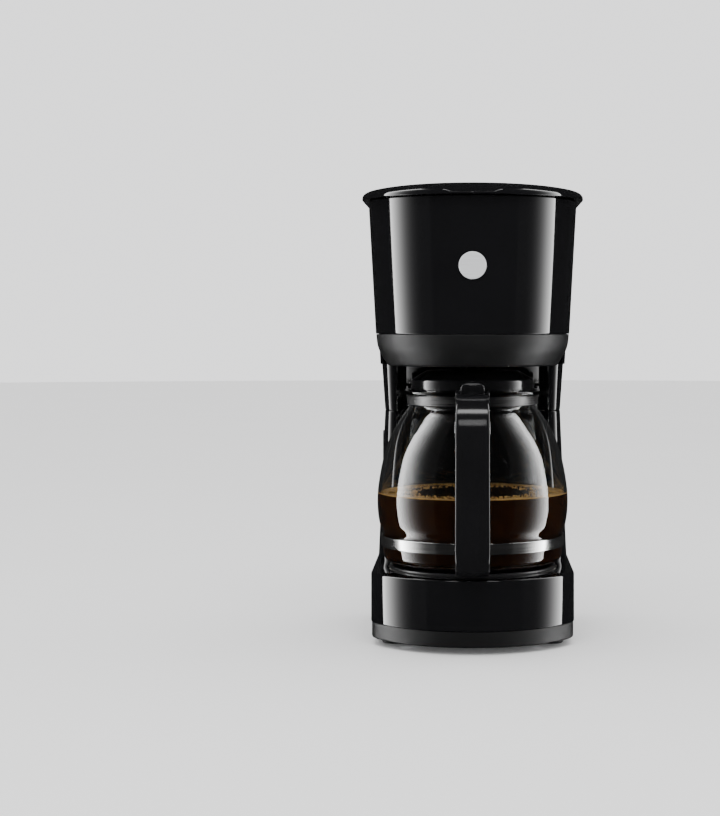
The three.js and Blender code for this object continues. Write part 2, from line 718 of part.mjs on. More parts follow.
function upperHousing() {
  const bottom = WAIST + FIT;
  const columnOuter = flareColumn(prism(columnPlan(), bottom, HEAD_BOTTOM + 1));
  const columnInner = flareColumn(prism(columnPlan(WALL), bottom - 1, HEAD_BOTTOM + 8));
  const outerPlan = roundPlan(HEAD_TOP_HALF_WIDTH);
  const headOuter = flareHead(prism(outerPlan, HEAD_BOTTOM, HEAD_TOP, { curveSegments: 12 }));
  const innerPlan = roundPlan(HEAD_TOP_HALF_WIDTH - WALL, BACK - WALL, REAR_CORNER - WALL);
  const headInner = flareHead(prism(innerPlan, HEAD_BOTTOM + WALL, HEAD_TOP + 1, { curveSegments: 12 }));
  const room = prism(bandPlan(HEAD_TOP_HALF_WIDTH + 8, -FIT), HEAD_BOTTOM - 1, BAND_TOP);
  const head = cut(headOuter, headInner, room);
  const well = ring(WELL.inner, WELL.outer, BAND_TOP + 1, WELL.top);
  const ties = [-1, 1].map((side) => {
    const edges = [side * (WELL.outer - 0.6), side * 72].sort((a, b) => a - b);
    return common(
      box([edges[0], -1.2, BAND_TOP + 1], [edges[1], 1.2, WELL.top]),
      flareHead(prism(roundPlan(HEAD_TOP_HALF_WIDTH - 1), BAND_TOP, HEAD_TOP)),
    );
  });
  const shell = cut(join(head, columnOuter, well, ...ties), columnInner);
  const whole = join(shell, ...rearRails(bottom, COVER_TOP + 4), rearBar());
  return cut(whole, rearOpening(bottom - 1, COVER_TOP + FIT), ...rearScrewHoles(), ...hingeBores());
}

/** The fixed strip of the rim behind the lid, with a lug at each side for the lid's pins. */
function rearBar() {
  const rim = prism(roundPlan(RIM_HALF_WIDTH, BACK, REAR_CORNER + 4.6), HEAD_TOP - 1, LID_HINGE.z + 2);
  const behind = box([-90, LID_HINGE.y + 3.2, 300], [90, BACK + 5, 340]);
  const corners = [-1, 1].map((side) => {
    const edges = [side * 58.4, side * 90].sort((a, b) => a - b);
    return box([edges[0], LID_HINGE.y - 3.6, 300], [edges[1], BACK + 5, 340]);
  });
  return common(rim, join(behind, ...corners));
}

function hingeBores() {
  return [-1, 1].map((side) => {
    const from = [side * 57, LID_HINGE.y, LID_HINGE.z];
    return rod(from, [side * 62, LID_HINGE.y, LID_HINGE.z], 1.2 + FIT, 12);
  });
}

/** The lid's plan drawn in by an inset, cut straight in front of the hinge. */
function lidPlan(inset) {
  const half = RIM_HALF_WIDTH - inset;
  const shape = new THREE.Shape();
  shape.moveTo(half, 0);
  shape.lineTo(half, LID_HINGE.y - LID.hingeGap - inset);
  shape.lineTo(-half, LID_HINGE.y - LID.hingeGap - inset);
  shape.lineTo(-half, 0);
  shape.absarc(0, 0, half, Math.PI, 2 * Math.PI, false);
  return shape;
}

/** The lid: a rim, a low dome, a finger scoop in front and a barrel on the hinge axis behind. */
function topLid() {
  const bottom = HEAD_TOP + FIT + 0.2;
  const { shoulder, domeSpan, domeLevels, scoopRadius, scoopDepth } = LID;
  const rim = prism(lidPlan(0), bottom, shoulder, { curveSegments: 14 });
  const domes = [];
  for (let i = 1; i <= domeLevels; i += 1) {
    const inset = (domeSpan * (i - 0.7)) / domeLevels;
    const top = shoulder + (LID_TOP - shoulder) * Math.sin((Math.PI * i) / domeLevels / 2);
    domes.push(prism(lidPlan(inset), shoulder - 1, top, { curveSegments: 10 }));
  }
  const hollow = prism(lidPlan(7.4), bottom - 1, shoulder - 1.6, { curveSegments: 10 });
  const dome = prism(lidPlan(domeSpan / 2), bottom - 1, LID_TOP - 4.4);
  const scoopZ = shoulder - scoopDepth + scoopRadius;
  const scoop = rod([0, -90, scoopZ], [0, scoopDepth - RIM_HALF_WIDTH, scoopZ], scoopRadius, 60);
  const { y, z } = LID_HINGE;
  const barrel = rod([-58, y, z], [58, y, z], 2.8, 12);
  const web = box([-58, y - 5, z - 2.6], [58, y, z + 2]);
  const bores = [-1, 1].map((side) => rod([side * 50, y, z], [side * 60, y, z], 1.2 + FIT, 12));
  return cut(join(rim, ...domes, barrel, web), hollow, dome, scoop, ...bores);
}

function filterBasket() {
  const outer = [
    [12.4, 203.4],
    [12.4, 214],
    [20, 216],
    [50, 244],
    [59, 300],
    [59, WELL.top + FIT],
    [62.6, WELL.top + FIT],
    [62.6, 307],
  ];
  const inner = [
    [56.8, 307],
    [56.8, 300],
    [48, 245],
    [19, 218],
    [5, 216],
    [5, 213.5],
    [9.8, 213.5],
    [9.8, 203.4],
    [12.4, 203.4],
  ];
  const cup = revolve([...outer, ...inner]);
  const notch = box([-13, 42, 290], [13, 70, 312]);
  return cut(cup, notch);
}

/** The drip valve: a flat button that the carafe lid lifts, on a stem with a plug above its seat. */
function dripValve() {
  const profile = [
    [0, 190.9],
    [9.6, 190.9],
    [11.8, 192.4],
    [11.8, 194.2],
    [8, 195.6],
    [4.6, 197],
    [4.6, 200],
    [2.6, 200],
    [2.6, 219.4],
    [2.2, 219.4],
    [2.2, 224.4],
    [0, 224.4],
  ];
  return revolve(profile, 24);
}

/** A coil spring between the valve's shoulder and the basket's seat. */
function valveSpring() {
  const turns = 4;
  const bottom = 200.9;
  const length = 12;
  const coil = new THREE.Curve();
  coil.getPoint = (t, target = new THREE.Vector3()) => {
    const angle = 2 * Math.PI * turns * t;
    return target.set(6.6 * Math.cos(angle), 6.6 * Math.sin(angle), bottom + (length - 0.6) * t);
  };
  return sweep(circleShape(0.5), coil, 64, 2);
}

function valveSeal() {
  return ring(2.2 + FIT, 6.6, 219.8, 222.2, 20);
}

part(machine, "upper_housing", upperHousing(), GLOSS_BLACK);
part(machine, "head_band", headBand(), MATTE_BLACK);
part(machine, "badge", rod([0, 0, 0], [0, -BADGE.thickness, 0], BADGE.radius, 32), SILVER, {
  position: [0, -halfWidthAt(BADGE.z) - FIT - 0.05, BADGE.z],
  rotation: [BADGE.tilt, 0, 0],
});
part(machine, "top_lid", topLid(), GLOSS_BLACK);
[-1, 1].forEach((side) => {
  const ends = [side * 51, side * 61.6];
  const pin = rod([ends[0], LID_HINGE.y, LID_HINGE.z], [ends[1], LID_HINGE.y, LID_HINGE.z], 1.2, 12);
  part(machine, side < 0 ? "lid_pin_left" : "lid_pin_right", pin, STEEL);
});
part(basket, "filter_basket", filterBasket(), SATIN_BLACK);
part(basket, "drip_valve", dripValve(), SATIN_BLACK);
part(basket, "valve_spring", valveSpring(), STEEL);
part(basket, "valve_seal", valveSeal(), SILICONE);

// ---- Carafe --------------------------------------------------------------------------------------------

/** The glass wall's outside, from its foot up to the neck, as [radius, height]. */
function glassSide(inset) {
  const knots = [
    [60, GLASS_BOTTOM + 1.5],
    [64.4, 59],
    [65.2, 64],
    [65.2, 76.4],
    [67.7, 82.5],
    [69.4, 95],
    [68.9, 109],
    [66.7, 122],
    [63.9, 135],
    [58.4, 149],
    [50.5, 165],
  ];
  return knots.map(([radius, height]) => [radius - inset, height]);
}

function carafeGlass() {
  const outer = [
    [0, GLASS_BOTTOM],
    [57, GLASS_BOTTOM],
    ...glassSide(0),
    [NECK_RADIUS, 169.2],
    [NECK_RADIUS, 176.9],
    [LIP.radius, LIP.bottom],
    [LIP.radius, LIP.top - 0.8],
    [LIP.radius - 1.5, LIP.top],
  ];
  const inner = [
    [NECK_RADIUS - GLASS_WALL, 178.2],
    [NECK_RADIUS - GLASS_WALL, 169.6],
    ...glassSide(GLASS_WALL).reverse().filter(([, height]) => height > GLASS_BOTTOM + 4),
    [57, GLASS_BOTTOM + 3.4],
    [0, GLASS_BOTTOM + 3],
  ];
  return revolve([...outer, ...inner], 36);
}

/** The handle's side view: an arm to the collar, an upright grip and a foot to the strap. */
function handleSide() {
  const { frontY, top, bottom } = HANDLE;
  const shape = new THREE.Shape();
  shape.moveTo(-40, top - 13);
  shape.lineTo(-40, top - 5);
  shape.lineTo(-66, top - 5);
  shape.lineTo(-70, top);
  shape.lineTo(-92, top);
  shape.absellipse(-92, top - 30, -92 - frontY, 30, Math.PI / 2, Math.PI, false);
  shape.absellipse(-92, bottom + 18, -92 - frontY, 18, Math.PI, 1.5 * Math.PI, false);
  shape.lineTo(-58, bottom);
  shape.lineTo(-58, bottom + 16);
  shape.lineTo(-88, bottom + 17);
  shape.absellipse(-88, bottom + 27, 13, 10, 1.5 * Math.PI, Math.PI, true);
  shape.absellipse(-88, top - 31, 13, 18, Math.PI, Math.PI / 2, true);
  shape.lineTo(-40, top - 13);
  return shape;
}

function carafeHandle() {
  const body = barAlongX(handleSide(), HANDLE.width / 2, 2);
  const ears = [-1, 1].map((side) => {
    const shape = new THREE.Shape();
    shape.moveTo(-56.2, 172);
    shape.lineTo(-66.5, 172);
    shape.lineTo(-66.5, 176.6);
    shape.absarc(-61.35, 176.6, 5.15, Math.PI, 0, true);
    return barAlongX(shape, 1.2).translate(side * 10.8, 0, 0);
  });
  const { y, z } = CARAFE_HINGE;
  const pinBore = rod([-14, y, z], [14, y, z], 1.1 + FIT, 12);
  return cut(
    join(body, ...ears),
    disc(COLLAR.outer + FIT, 150, COLLAR.top + 0.2),
    disc(LIP.radius + 0.5, COLLAR.top, 190),
    disc(70.2, 76, 150),
    disc(STRAP.outer + FIT, 40, STRAP.top + 4),
    pinBore,
    rod([0, -56, 160], [0, -56, 175], SCREW.shank + FIT, 12),
    rod([0, -76, 50], [0, -76, 68], SCREW.shank + FIT, 12),
    box([-9.4, -67.5, LEVER.bottom - 0.9], [9.4, -57, 190]),
  );
}

/** The lid: a stepped black disc with a funnel in its middle, a trough behind it and the thumb lever. */
function carafeLid() {
  const outer = [
    [41, 172.4],
    [43, 172.4],
    [43, 180.6],
    [45, 180.6],
    [45, 188],
    [33.4, 194.5],
    [18.4, 194.5],
    [13.4, 190.2],
    [5, 189.6],
    [5, 187.4],
    [38, 187.4],
    [41, 184],
    [41, 172.4],
  ];
  const cap = revolve(outer);
  const trough = box([-13, 0, 189.8], [13, 50, 200]);
  const arm = box([-8, -62.4, 181.4], [8, -42.5, 184.6]);
  const { halfWidth, bottom, top, thickness, back } = LEVER;
  const lever = new THREE.Shape();
  lever.moveTo(-halfWidth, bottom);
  lever.lineTo(halfWidth, bottom);
  lever.lineTo(halfWidth, top - 3);
  lever.quadraticCurveTo(halfWidth - 0.6, top, 0, top);
  lever.quadraticCurveTo(0.6 - halfWidth, top, -halfWidth, top - 3);
  const upright = new THREE.Matrix4().makeRotationX(Math.PI / 2);
  const tab = new THREE.ExtrudeGeometry(lever, { depth: thickness, bevelEnabled: false, curveSegments: 6 });
  tab.applyMatrix4(upright).translate(0, back, 0);
  const { y, z } = CARAFE_HINGE;
  const barrel = rod([-halfWidth, y, z], [halfWidth, y, z], 2.6);
  const bore = rod([-12, y, z], [12, y, z], 1.1 + FIT, 12);
  return cut(join(cut(cap, trough), arm, tab, barrel), bore);
}

part(carafe, "carafe_glass", carafeGlass(), CLEAR);
part(carafe, "carafe_collar", ring(COLLAR.inner, COLLAR.outer, COLLAR.bottom, COLLAR.top), STEEL);
part(carafe, "carafe_strap", ring(STRAP.inner, STRAP.outer, STRAP.bottom, STRAP.top), STEEL);
part(carafe, "carafe_handle", carafeHandle(), SATIN_BLACK);
part(carafe, "handle_screw_upper", screw(6.4), STEEL, { position: [0, -56, HANDLE.top - 13 - FIT] });
part(carafe, "handle_screw_lower", screw(10), STEEL, { position: [0, -76, HANDLE.bottom - FIT] });
part(carafe, "carafe_lid", carafeLid(), SATIN_BLACK);
part(carafe, "carafe_lid_pin", rod([-12, 0, 0], [12, 0, 0], 1.1, 12), STEEL, {
  position: [0, CARAFE_HINGE.y, CARAFE_HINGE.z],
});

export default machine;
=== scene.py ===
"""A drip coffee maker with a glass carafe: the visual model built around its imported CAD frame.

Lengths in the classes are in millimetres. The upright axis that the carafe, filter basket and hot plate
share is x = y = 0 of each class, and the front faces -Y. Surface moves every mesh from there into the frame,
in metres.
"""

import logging
from collections.abc import Callable, Sequence
from dataclasses import dataclass, field
from enum import Enum
from typing import Optional

import bmesh
import bpy
import numpy as np
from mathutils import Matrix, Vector


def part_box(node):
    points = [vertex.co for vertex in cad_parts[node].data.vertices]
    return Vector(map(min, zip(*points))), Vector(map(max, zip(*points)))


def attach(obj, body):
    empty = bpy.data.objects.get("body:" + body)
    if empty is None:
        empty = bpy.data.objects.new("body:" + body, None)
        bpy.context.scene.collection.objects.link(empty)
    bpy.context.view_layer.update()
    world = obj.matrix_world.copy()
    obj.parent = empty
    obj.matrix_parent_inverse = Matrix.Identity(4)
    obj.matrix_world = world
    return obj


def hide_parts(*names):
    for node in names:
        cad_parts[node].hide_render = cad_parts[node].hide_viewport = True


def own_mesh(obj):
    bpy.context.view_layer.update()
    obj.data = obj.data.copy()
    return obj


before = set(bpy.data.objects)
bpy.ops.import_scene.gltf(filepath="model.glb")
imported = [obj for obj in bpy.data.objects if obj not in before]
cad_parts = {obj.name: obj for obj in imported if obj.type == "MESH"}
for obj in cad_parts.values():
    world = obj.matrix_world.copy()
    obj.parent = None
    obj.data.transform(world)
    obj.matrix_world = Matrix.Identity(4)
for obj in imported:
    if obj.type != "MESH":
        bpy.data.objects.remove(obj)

LOG = logging.getLogger("coffee_maker")
MM = 0.001
TAU = 2 * np.pi
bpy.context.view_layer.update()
SEED = 7
Array = np.ndarray
Thing = bpy.types.Object
Socket = bpy.types.NodeSocket
Plan = Callable[[float, float], Array]


def centre_of(node: str) -> tuple[float, float, float]:
    """The middle of a CAD node's box, in millimetres."""
    low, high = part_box(node)
    return tuple(((low + high) / 2 / MM)[:])


AXIS_Y = centre_of("hot_plate")[1]


# ---- Curves and outlines -------------------------------------------------------------------------------


def arc(
    cx: float, cy: float, rx: float, start: float, end: float, count: int, ry: Optional[float] = None
) -> Array:
    """Points on an ellipse: centre plus radii times the cosine and sine of even angles, in degrees."""
    angle = np.radians(np.linspace(start, end, count))
    return np.stack([cx + rx * np.cos(angle), cy + (rx if ry is None else ry) * np.sin(angle)], axis=1)


def line(start: Sequence[float], end: Sequence[float], count: int) -> Array:
    """Evenly spaced points on a straight line, both ends included."""
    share = np.linspace(0, 1, count)[:, None]
    return (1 - share) * np.asarray(start, float) + share * np.asarray(end, float)


def chain(*parts: Array) -> Array:
    """Joins runs of points and drops a point that repeats the one before it."""
    points = np.concatenate(parts)
    step = np.linalg.norm(np.diff(points, axis=0), axis=1)
    return points[np.concatenate([[True], step > 1e-4])]


def rounded(corners: Sequence[Sequence[float]], steps: int = 4, closed: bool = True) -> Array:
    """A section with rounded corners.

    Each corner (a, b, radius) becomes a quadratic curve from a point before it to a point after it, both at
    the radius or at 0.45 of the shorter side beside it, whichever is less. The curve's middle is drawn to the
    corner: (1 - t) squared times the first, 2 t (1 - t) times the corner, and t squared times the last.

    Args:
        corners: Corner points in order, each with its radius.
        steps: Segments on each corner.
        closed: Whether the last corner joins the first. The ends of an open section stay sharp.

    Returns:
        The points of the section.
    """
    given = np.asarray(corners, float)
    place, radius = given[:, :2], given[:, 2]
    before = np.roll(place, 1, axis=0) - place
    after = np.roll(place, -1, axis=0) - place
    length_before = np.linalg.norm(before, axis=1)
    length_after = np.linalg.norm(after, axis=1)
    reach = np.minimum(radius, 0.45 * np.minimum(length_before, length_after))
    if not closed:
        reach[[0, -1]] = 0.0
    first = place + before / length_before[:, None] * reach[:, None]
    last = place + after / length_after[:, None] * reach[:, None]
    share = np.linspace(0, 1, steps + 1)[None, :, None]
    curve = (
        (1 - share) ** 2 * first[:, None]
        + 2 * share * (1 - share) * place[:, None]
        + share**2 * last[:, None]
    )
    return chain(curve.reshape(-1, 2))


def smooth_through(knots: Sequence[Sequence[float]], count: int) -> Array:
    """A smooth curve through knots, by centripetal cubic Hermite blending, at even parameters."""
    points = np.asarray(knots, float)
    size = np.sqrt(np.linalg.norm(np.diff(points, axis=0), axis=1))
    knot_at = np.concatenate([[0.0], np.cumsum(size)])
    slope = np.gradient(points, knot_at, axis=0)
    at = np.linspace(0, knot_at[-1], count)
    i = np.clip(np.searchsorted(knot_at, at, side="right") - 1, 0, len(points) - 2)
    span = (knot_at[i + 1] - knot_at[i])[:, None]
    t = ((at - knot_at[i])[:, None]) / span
    return (
        (2 * t**3 - 3 * t**2 + 1) * points[i]
        + (t**3 - 2 * t**2 + t) * span * slope[i]
        + (3 * t**2 - 2 * t**3) * points[i + 1]
        + (t**3 - t**2) * span * slope[i + 1]
    )


def layers(path: Array, places: Sequence[float], axis: int = 2) -> Array:
    """A flat path repeated at each place along an axis, as the grid of a straight bar."""
    return np.stack([np.insert(path, axis, place, axis=1) for place in places])


# ---- Meshes --------------------------------------------------------------------------------------------


class Surface:
    """Turns grids of points into closed, smooth-shaded meshes in the frame."""

    @staticmethod
    def build(name: str, points: Array, faces: list, sharp: float = 40.0) -> Thing:
        """Makes an object from points in millimetres about the axis, with its seams and poles closed.

        Args:
            name: The object's name.
            points: Vertices in millimetres about the carafe's axis.
            faces: Faces as lists of vertex indices.
            sharp: Edges that bend by more than this many degrees stay sharp.

        Returns:
            The new object, linked to the scene.
        """
        place = (np.asarray(points, float).reshape(-1, 3) + (0.0, AXIS_Y, 0.0)) * MM
        mesh = bpy.data.meshes.new(name)
        mesh.from_pydata(place.tolist(), [], faces)
        work = bmesh.new()
        work.from_mesh(mesh)
        bmesh.ops.remove_doubles(work, verts=work.verts, dist=2e-6)
        bmesh.ops.dissolve_degenerate(work, edges=work.edges, dist=1e-7)
        bmesh.ops.recalc_face_normals(work, faces=work.faces)
        work.to_mesh(mesh)
        work.free()
        return Surface.finish(bpy.data.objects.new(name, mesh), sharp)

    @staticmethod
    def finish(obj: Thing, sharp: float) -> Thing:
        """Links an object to the scene and shades it smooth, except where it bends sharply."""
        mesh = obj.data
        mesh.polygons.foreach_set("use_smooth", np.ones(len(mesh.polygons), bool))
        mesh.set_sharp_from_angle(angle=np.radians(sharp))
        mesh.update()
        bpy.context.scene.collection.objects.link(obj)
        return obj

    @staticmethod
    def grid_faces(rows: int, columns: int, wrap_rows: bool, wrap_columns: bool) -> Array:
        """Quads between neighbours of a grid whose points are numbered row by row."""
        i = np.arange(rows if wrap_rows else rows - 1)
        j = np.arange(columns if wrap_columns else columns - 1)
        i, j = np.meshgrid(i, j, indexing="ij")
        below, beside = (i + 1) % rows, (j + 1) % columns
        corners = [i * columns + j, i * columns + beside, below * columns + beside, below * columns + j]
        return np.stack(corners, axis=-1).reshape(-1, 4)

    @staticmethod
    def sheet(
        name: str, grid: Array, wrap_rows: bool, wrap_columns: bool, sharp: float = 40.0
    ) -> Thing:
        """A surface from a grid of points, with flat caps on the ends of an open tube."""
        rows, columns, _ = grid.shape
        faces = Surface.grid_faces(rows, columns, wrap_rows, wrap_columns).tolist()
        if wrap_columns and not wrap_rows:
            faces.append(list(range(columns)))
            faces.append(list(range((rows - 1) * columns, rows * columns)))
        return Surface.build(name, grid, faces, sharp)

    @staticmethod
    def revolved(
        name: str,
        profile: Array,
        segments: int = 128,
        centre: tuple[float, float] = (0.0, 0.0),
        sharp: float = 40.0,
    ) -> Thing:
        """A closed profile of (radius, height) turned about an upright line.

        A point is at radius times the cosine and sine of its angle, at its height.
        """
        angle = np.linspace(0, TAU, segments, endpoint=False)[:, None]
        radius, height = profile[:, 0][None, :], profile[:, 1][None, :]
        grid = np.stack(
            [
                centre[0] + radius * np.cos(angle),
                centre[1] + radius * np.sin(angle),
                np.broadcast_to(height, (segments, len(profile))),
            ],
            axis=-1,
        )
        return Surface.sheet(name, grid, True, True, sharp)

    @staticmethod
    def tube(name: str, path: Array, radius: float, sides: int = 16, closed: bool = False) -> Thing:
        """A round bar along a path, with each ring across the path's direction and no twist.

        The first side vector is any direction across the path. Each ring uses the last one's side vector less
        its part along the new direction, so the rings never spin.
        """
        along = np.gradient(path, axis=0)
        along /= np.linalg.norm(along, axis=1)[:, None]
        side = np.cross(along[0], (0.0, 0.0, 1.0))
        if np.linalg.norm(side) < 1e-3:
            side = np.cross(along[0], (1.0, 0.0, 0.0))
        sides_at = []
        for direction in along:
            side = side - np.dot(side, direction) * direction
            side = side / np.linalg.norm(side)
            sides_at.append(side)
        first = np.array(sides_at)
        second = np.cross(along, first)
        angle = np.linspace(0, TAU, sides, endpoint=False)[None, :, None]
        grid = path[:, None] + radius * (np.cos(angle) * first[:, None] + np.sin(angle) * second[:, None])
        return Surface.sheet(name, grid, closed, True)

    @staticmethod
    def carve(obj: Thing, *tools: Thing, sharp: float = 40.0) -> Thing:
        """Cuts tools out of an object and removes them. The cuts are worked into the mesh."""
        for tool in tools:
            cut = obj.modifiers.new("cut", "BOOLEAN")
            cut.operation = "DIFFERENCE"
            cut.solver = "EXACT"
            cut.object = tool
        graph = bpy.context.evaluated_depsgraph_get()
        mesh = bpy.data.meshes.new_from_object(obj.evaluated_get(graph))
        obj.modifiers.clear()
        obj.data = mesh
        for tool in tools:
            bpy.data.objects.remove(tool, do_unlink=True)
        mesh.polygons.foreach_set("use_smooth", np.ones(len(mesh.polygons), bool))
        mesh.set_sharp_from_angle(angle=np.radians(sharp))
        return obj

    @staticmethod
    def block(low: Sequence[float], high: Sequence[float], name: str = "tool") -> Thing:
        """A plain box, used only as a cutting tool or as one bar of a larger piece."""
        ends = np.array([low, high], float)
        which = np.indices((2, 2, 2)).reshape(3, -1).T
        corners = ends[which, np.arange(3)]
        faces = [[0, 1, 3, 2], [4, 6, 7, 5], [0, 4, 5, 1], [2, 3, 7, 6], [0, 2, 6, 4], [1, 5, 7, 3]]
        return Surface.build(name, corners, faces)

    @staticmethod
    def bevel(obj: Thing, width: float, segments: int = 2, angle: float = 30.0) -> Thing:
        """Rounds an object's sharp edges and keeps its flats flat in the shading."""
        soften = obj.modifiers.new("soften", "BEVEL")
        soften.width = width * MM
        soften.segments = segments
        soften.limit_method = "ANGLE"
        soften.angle_limit = np.radians(angle)
        soften.harden_normals = True
        return obj


def carried(outline: Plan, section: Array) -> Array:
    """A grid whose column j is the outline at section point j's inset, at its height."""
    loops = [np.insert(outline(inset, height), 2, height, axis=1) for inset, height in section]
    return np.stack(loops, axis=1)


def ring_piece(
    name: str,
    outline: Plan,
    section: Array,
    closed: bool = True,
    sharp: float = 40.0,
) -> Thing:
    """A section carried along an outline.

    Args:
        name: The object's name.
        outline: Gives the plan's points, always the same number of them, for an inset and a height.
        section: Points of (inset, height), closed on itself.
        closed: Whether the outline closes on itself. An open one gets flat ends.
        sharp: Edges that bend by more than this many degrees stay sharp.

    Returns:
        The piece: point i, j is the outline's point i at section point j's inset, at its height.
    """
    return Surface.sheet(name, carried(outline, section), closed, True, sharp)


class Body(Enum):
    """The moving bodies of the frame."""

    ROOT = "root"
    LID = "lid"
    BASKET = "basket"
    VALVE = "valve"
    CARAFE = "carafe"
    COVER = "carafe_cover"
    SWITCH = "switch"


class Slot(Enum):
    """The record's material slots."""

    GLOSS_BLACK = "gloss_black"
    MATTE_BLACK = "matte_black"
    SATIN_BLACK = "satin_black"
    BRUSHED_STEEL = "brushed_steel"
    POLISHED_STEEL = "polished_steel"
    ZINC_STEEL = "zinc_steel"
    ALUMINIUM = "aluminium"
    RUBBER = "rubber"
    SILICONE = "silicone"
    FUSE_SLEEVE = "fuse_sleeve"
    SMOKED_PLASTIC = "smoked_plastic"
    CLEAR_GLASS = "clear_glass"
    PLATE_COATING = "plate_coating"
    BADGE_SILVER = "badge_silver"
    COFFEE = "coffee"
    CREMA = "crema"


# ---- Finishes ------------------------------------------------------------------------------------------


class Graph:
    """A material's node tree, built one node at a time on Object coordinates."""

    def __init__(self, name: str) -> None:
        """Starts an empty material with a Principled shader on its output."""
        self.material = bpy.data.materials.new(name)
        self.material.use_nodes = True
        self.tree = self.material.node_tree
        self.tree.nodes.clear()
        self.output = self.tree.nodes.new("ShaderNodeOutputMaterial")
        self.shader = self.tree.nodes.new("ShaderNodeBsdfPrincipled")
        self.tree.links.new(self.shader.outputs["BSDF"], self.output.inputs["Surface"])
        self.place = self.tree.nodes.new("ShaderNodeTexCoord").outputs["Object"]

    def link(self, start: Socket, end: Socket) -> None:
        """Joins two sockets."""
        self.tree.links.new(start, end)

    def stretched(self, scale: Sequence[float], turn: Sequence[float] = (0.0, 0.0, 0.0)) -> Socket:
        """Object coordinates times a scale for each axis, after a turn in radians."""
        mapping = self.tree.nodes.new("ShaderNodeMapping")
        mapping.inputs["Scale"].default_value = scale
        mapping.inputs["Rotation"].default_value = turn
        self.link(self.place, mapping.inputs["Vector"])
        return mapping.outputs["Vector"]

    def noise(self, scale: float, detail: float = 3.0, vector: Optional[Socket] = None) -> Socket:
        """Soft noise from 0 to 1; scale is in repeats per metre."""
        node = self.tree.nodes.new("ShaderNodeTexNoise")
        node.inputs["Scale"].default_value = scale
        node.inputs["Detail"].default_value = detail
        self.link(self.place if vector is None else vector, node.inputs["Vector"])
        return node.outputs["Fac"]

    def cells(self, scale: float, kind: str = "F1", vector: Optional[Socket] = None) -> Socket:
        """Distance from the nearest of many scattered points; scale is in points per metre."""
        node = self.tree.nodes.new("ShaderNodeTexVoronoi")
        node.feature = kind
        node.inputs["Scale"].default_value = scale
        self.link(self.place if vector is None else vector, node.inputs["Vector"])
        return node.outputs["Distance"]

    def spread(
        self, value: Socket, low: float, high: float, start: float = 0.3, end: float = 0.7
    ) -> Socket:
        """Maps a value from start..end onto low..high, held at the ends."""
        node = self.tree.nodes.new("ShaderNodeMapRange")
        for name, number in (("From Min", start), ("From Max", end), ("To Min", low), ("To Max", high)):
            node.inputs[name].default_value = number
        self.link(value, node.inputs["Value"])
        return node.outputs["Result"]

    def blend(self, share: Socket, first: Sequence[float], second: Sequence[float]) -> Socket:
        """A colour between two colours by a share from 0 to 1."""
        node = self.tree.nodes.new("ShaderNodeMix")
        node.data_type = "RGBA"
        node.inputs["A"].default_value = (*first, 1.0)
        node.inputs["B"].default_value = (*second, 1.0)
        self.link(share, node.inputs["Factor"])
        return node.outputs["Result"]

    def add(self, first: Socket, second: Socket, weight: float) -> Socket:
        """first plus weight times second."""
        node = self.tree.nodes.new("ShaderNodeMath")
        node.operation = "MULTIPLY_ADD"
        node.inputs[1].default_value = weight
        self.link(second, node.inputs[0])
        self.link(first, node.inputs[2])
        return node.outputs["Value"]

    def bump(self, height: Socket, strength: float, depth: float) -> None:
        """Lets a height, in units of depth in metres, tilt the shading."""
        node = self.tree.nodes.new("ShaderNodeBump")
        node.inputs["Strength"].default_value = strength
        node.inputs["Distance"].default_value = depth
        self.link(height, node.inputs["Height"])
        self.link(node.outputs["Normal"], self.shader.inputs["Normal"])

    def color(self, socket: Socket) -> None:
        """Uses a colour as the base colour."""
        self.link(socket, self.shader.inputs["Base Color"])

    def roughness(self, socket: Socket) -> None:
        """Uses a value as the roughness."""
        self.link(socket, self.shader.inputs["Roughness"])


def shade(color: Sequence[float], amount: float) -> tuple[float, ...]:
    """A colour times an amount."""
    return tuple(channel * amount for channel in color)


@dataclass(frozen=True)
class Finish:
    """A finish: constants for the shader's own sockets, and the size of its grain."""

    slot: Slot
    color: tuple[float, float, float]
    roughness: float
    metallic: float = 0.0
    ior: float = 1.5
    coat: float = 0.0
    coat_roughness: float = 0.03
    transmission: float = 0.0
    anisotropy: float = 0.0
    grain: float = 2500.0
    relief: float = 0.1

    def material(self) -> bpy.types.Material:
        """Makes the finish's material."""
        graph = Graph(self.slot.value)
        sockets = graph.shader.inputs
        sockets["Base Color"].default_value = (*self.color, 1.0)
        sockets["Roughness"].default_value = self.roughness
        sockets["Metallic"].default_value = self.metallic
        sockets["IOR"].default_value = self.ior
        sockets["Coat Weight"].default_value = self.coat
        sockets["Coat Roughness"].default_value = self.coat_roughness
        sockets["Transmission Weight"].default_value = self.transmission
        sockets["Anisotropic"].default_value = self.anisotropy
        self.detail(graph)
        return graph.material

    def detail(self, graph: Graph) -> None:
        """Moulded surface: a fine grain, uneven colour and uneven roughness."""
        cloud = graph.noise(35.0, 4.0)
        grain = graph.noise(self.grain, 2.0)
        graph.color(graph.blend(cloud, shade(self.color, 0.82), shade(self.color, 1.2)))
        graph.roughness(graph.spread(cloud, self.roughness * 0.88, self.roughness * 1.12))
        graph.bump(grain, self.relief, 0.0002)


@dataclass(frozen=True)
class Gloss(Finish):
    """Polished plastic: a mirror surface with the faint waviness of a moulding, and a few hairline rubs."""

    def detail(self, graph: Graph) -> None:
        """Long soft waves tilt the reflections; rubs only roughen the surface."""
        wave = graph.noise(26.0, 1.0)
        rubs = graph.noise(140.0, 6.0, graph.stretched((1.0, 1.0, 0.14), (0.3, 0.2, 0.0)))
        graph.color(graph.blend(wave, shade(self.color, 0.85), shade(self.color, 1.15)))
        graph.roughness(graph.spread(rubs, self.roughness * 0.75, self.roughness * 1.5, 0.45, 0.75))
        graph.bump(graph.add(wave, graph.noise(900.0, 2.0), 0.02), self.relief, 0.0006)


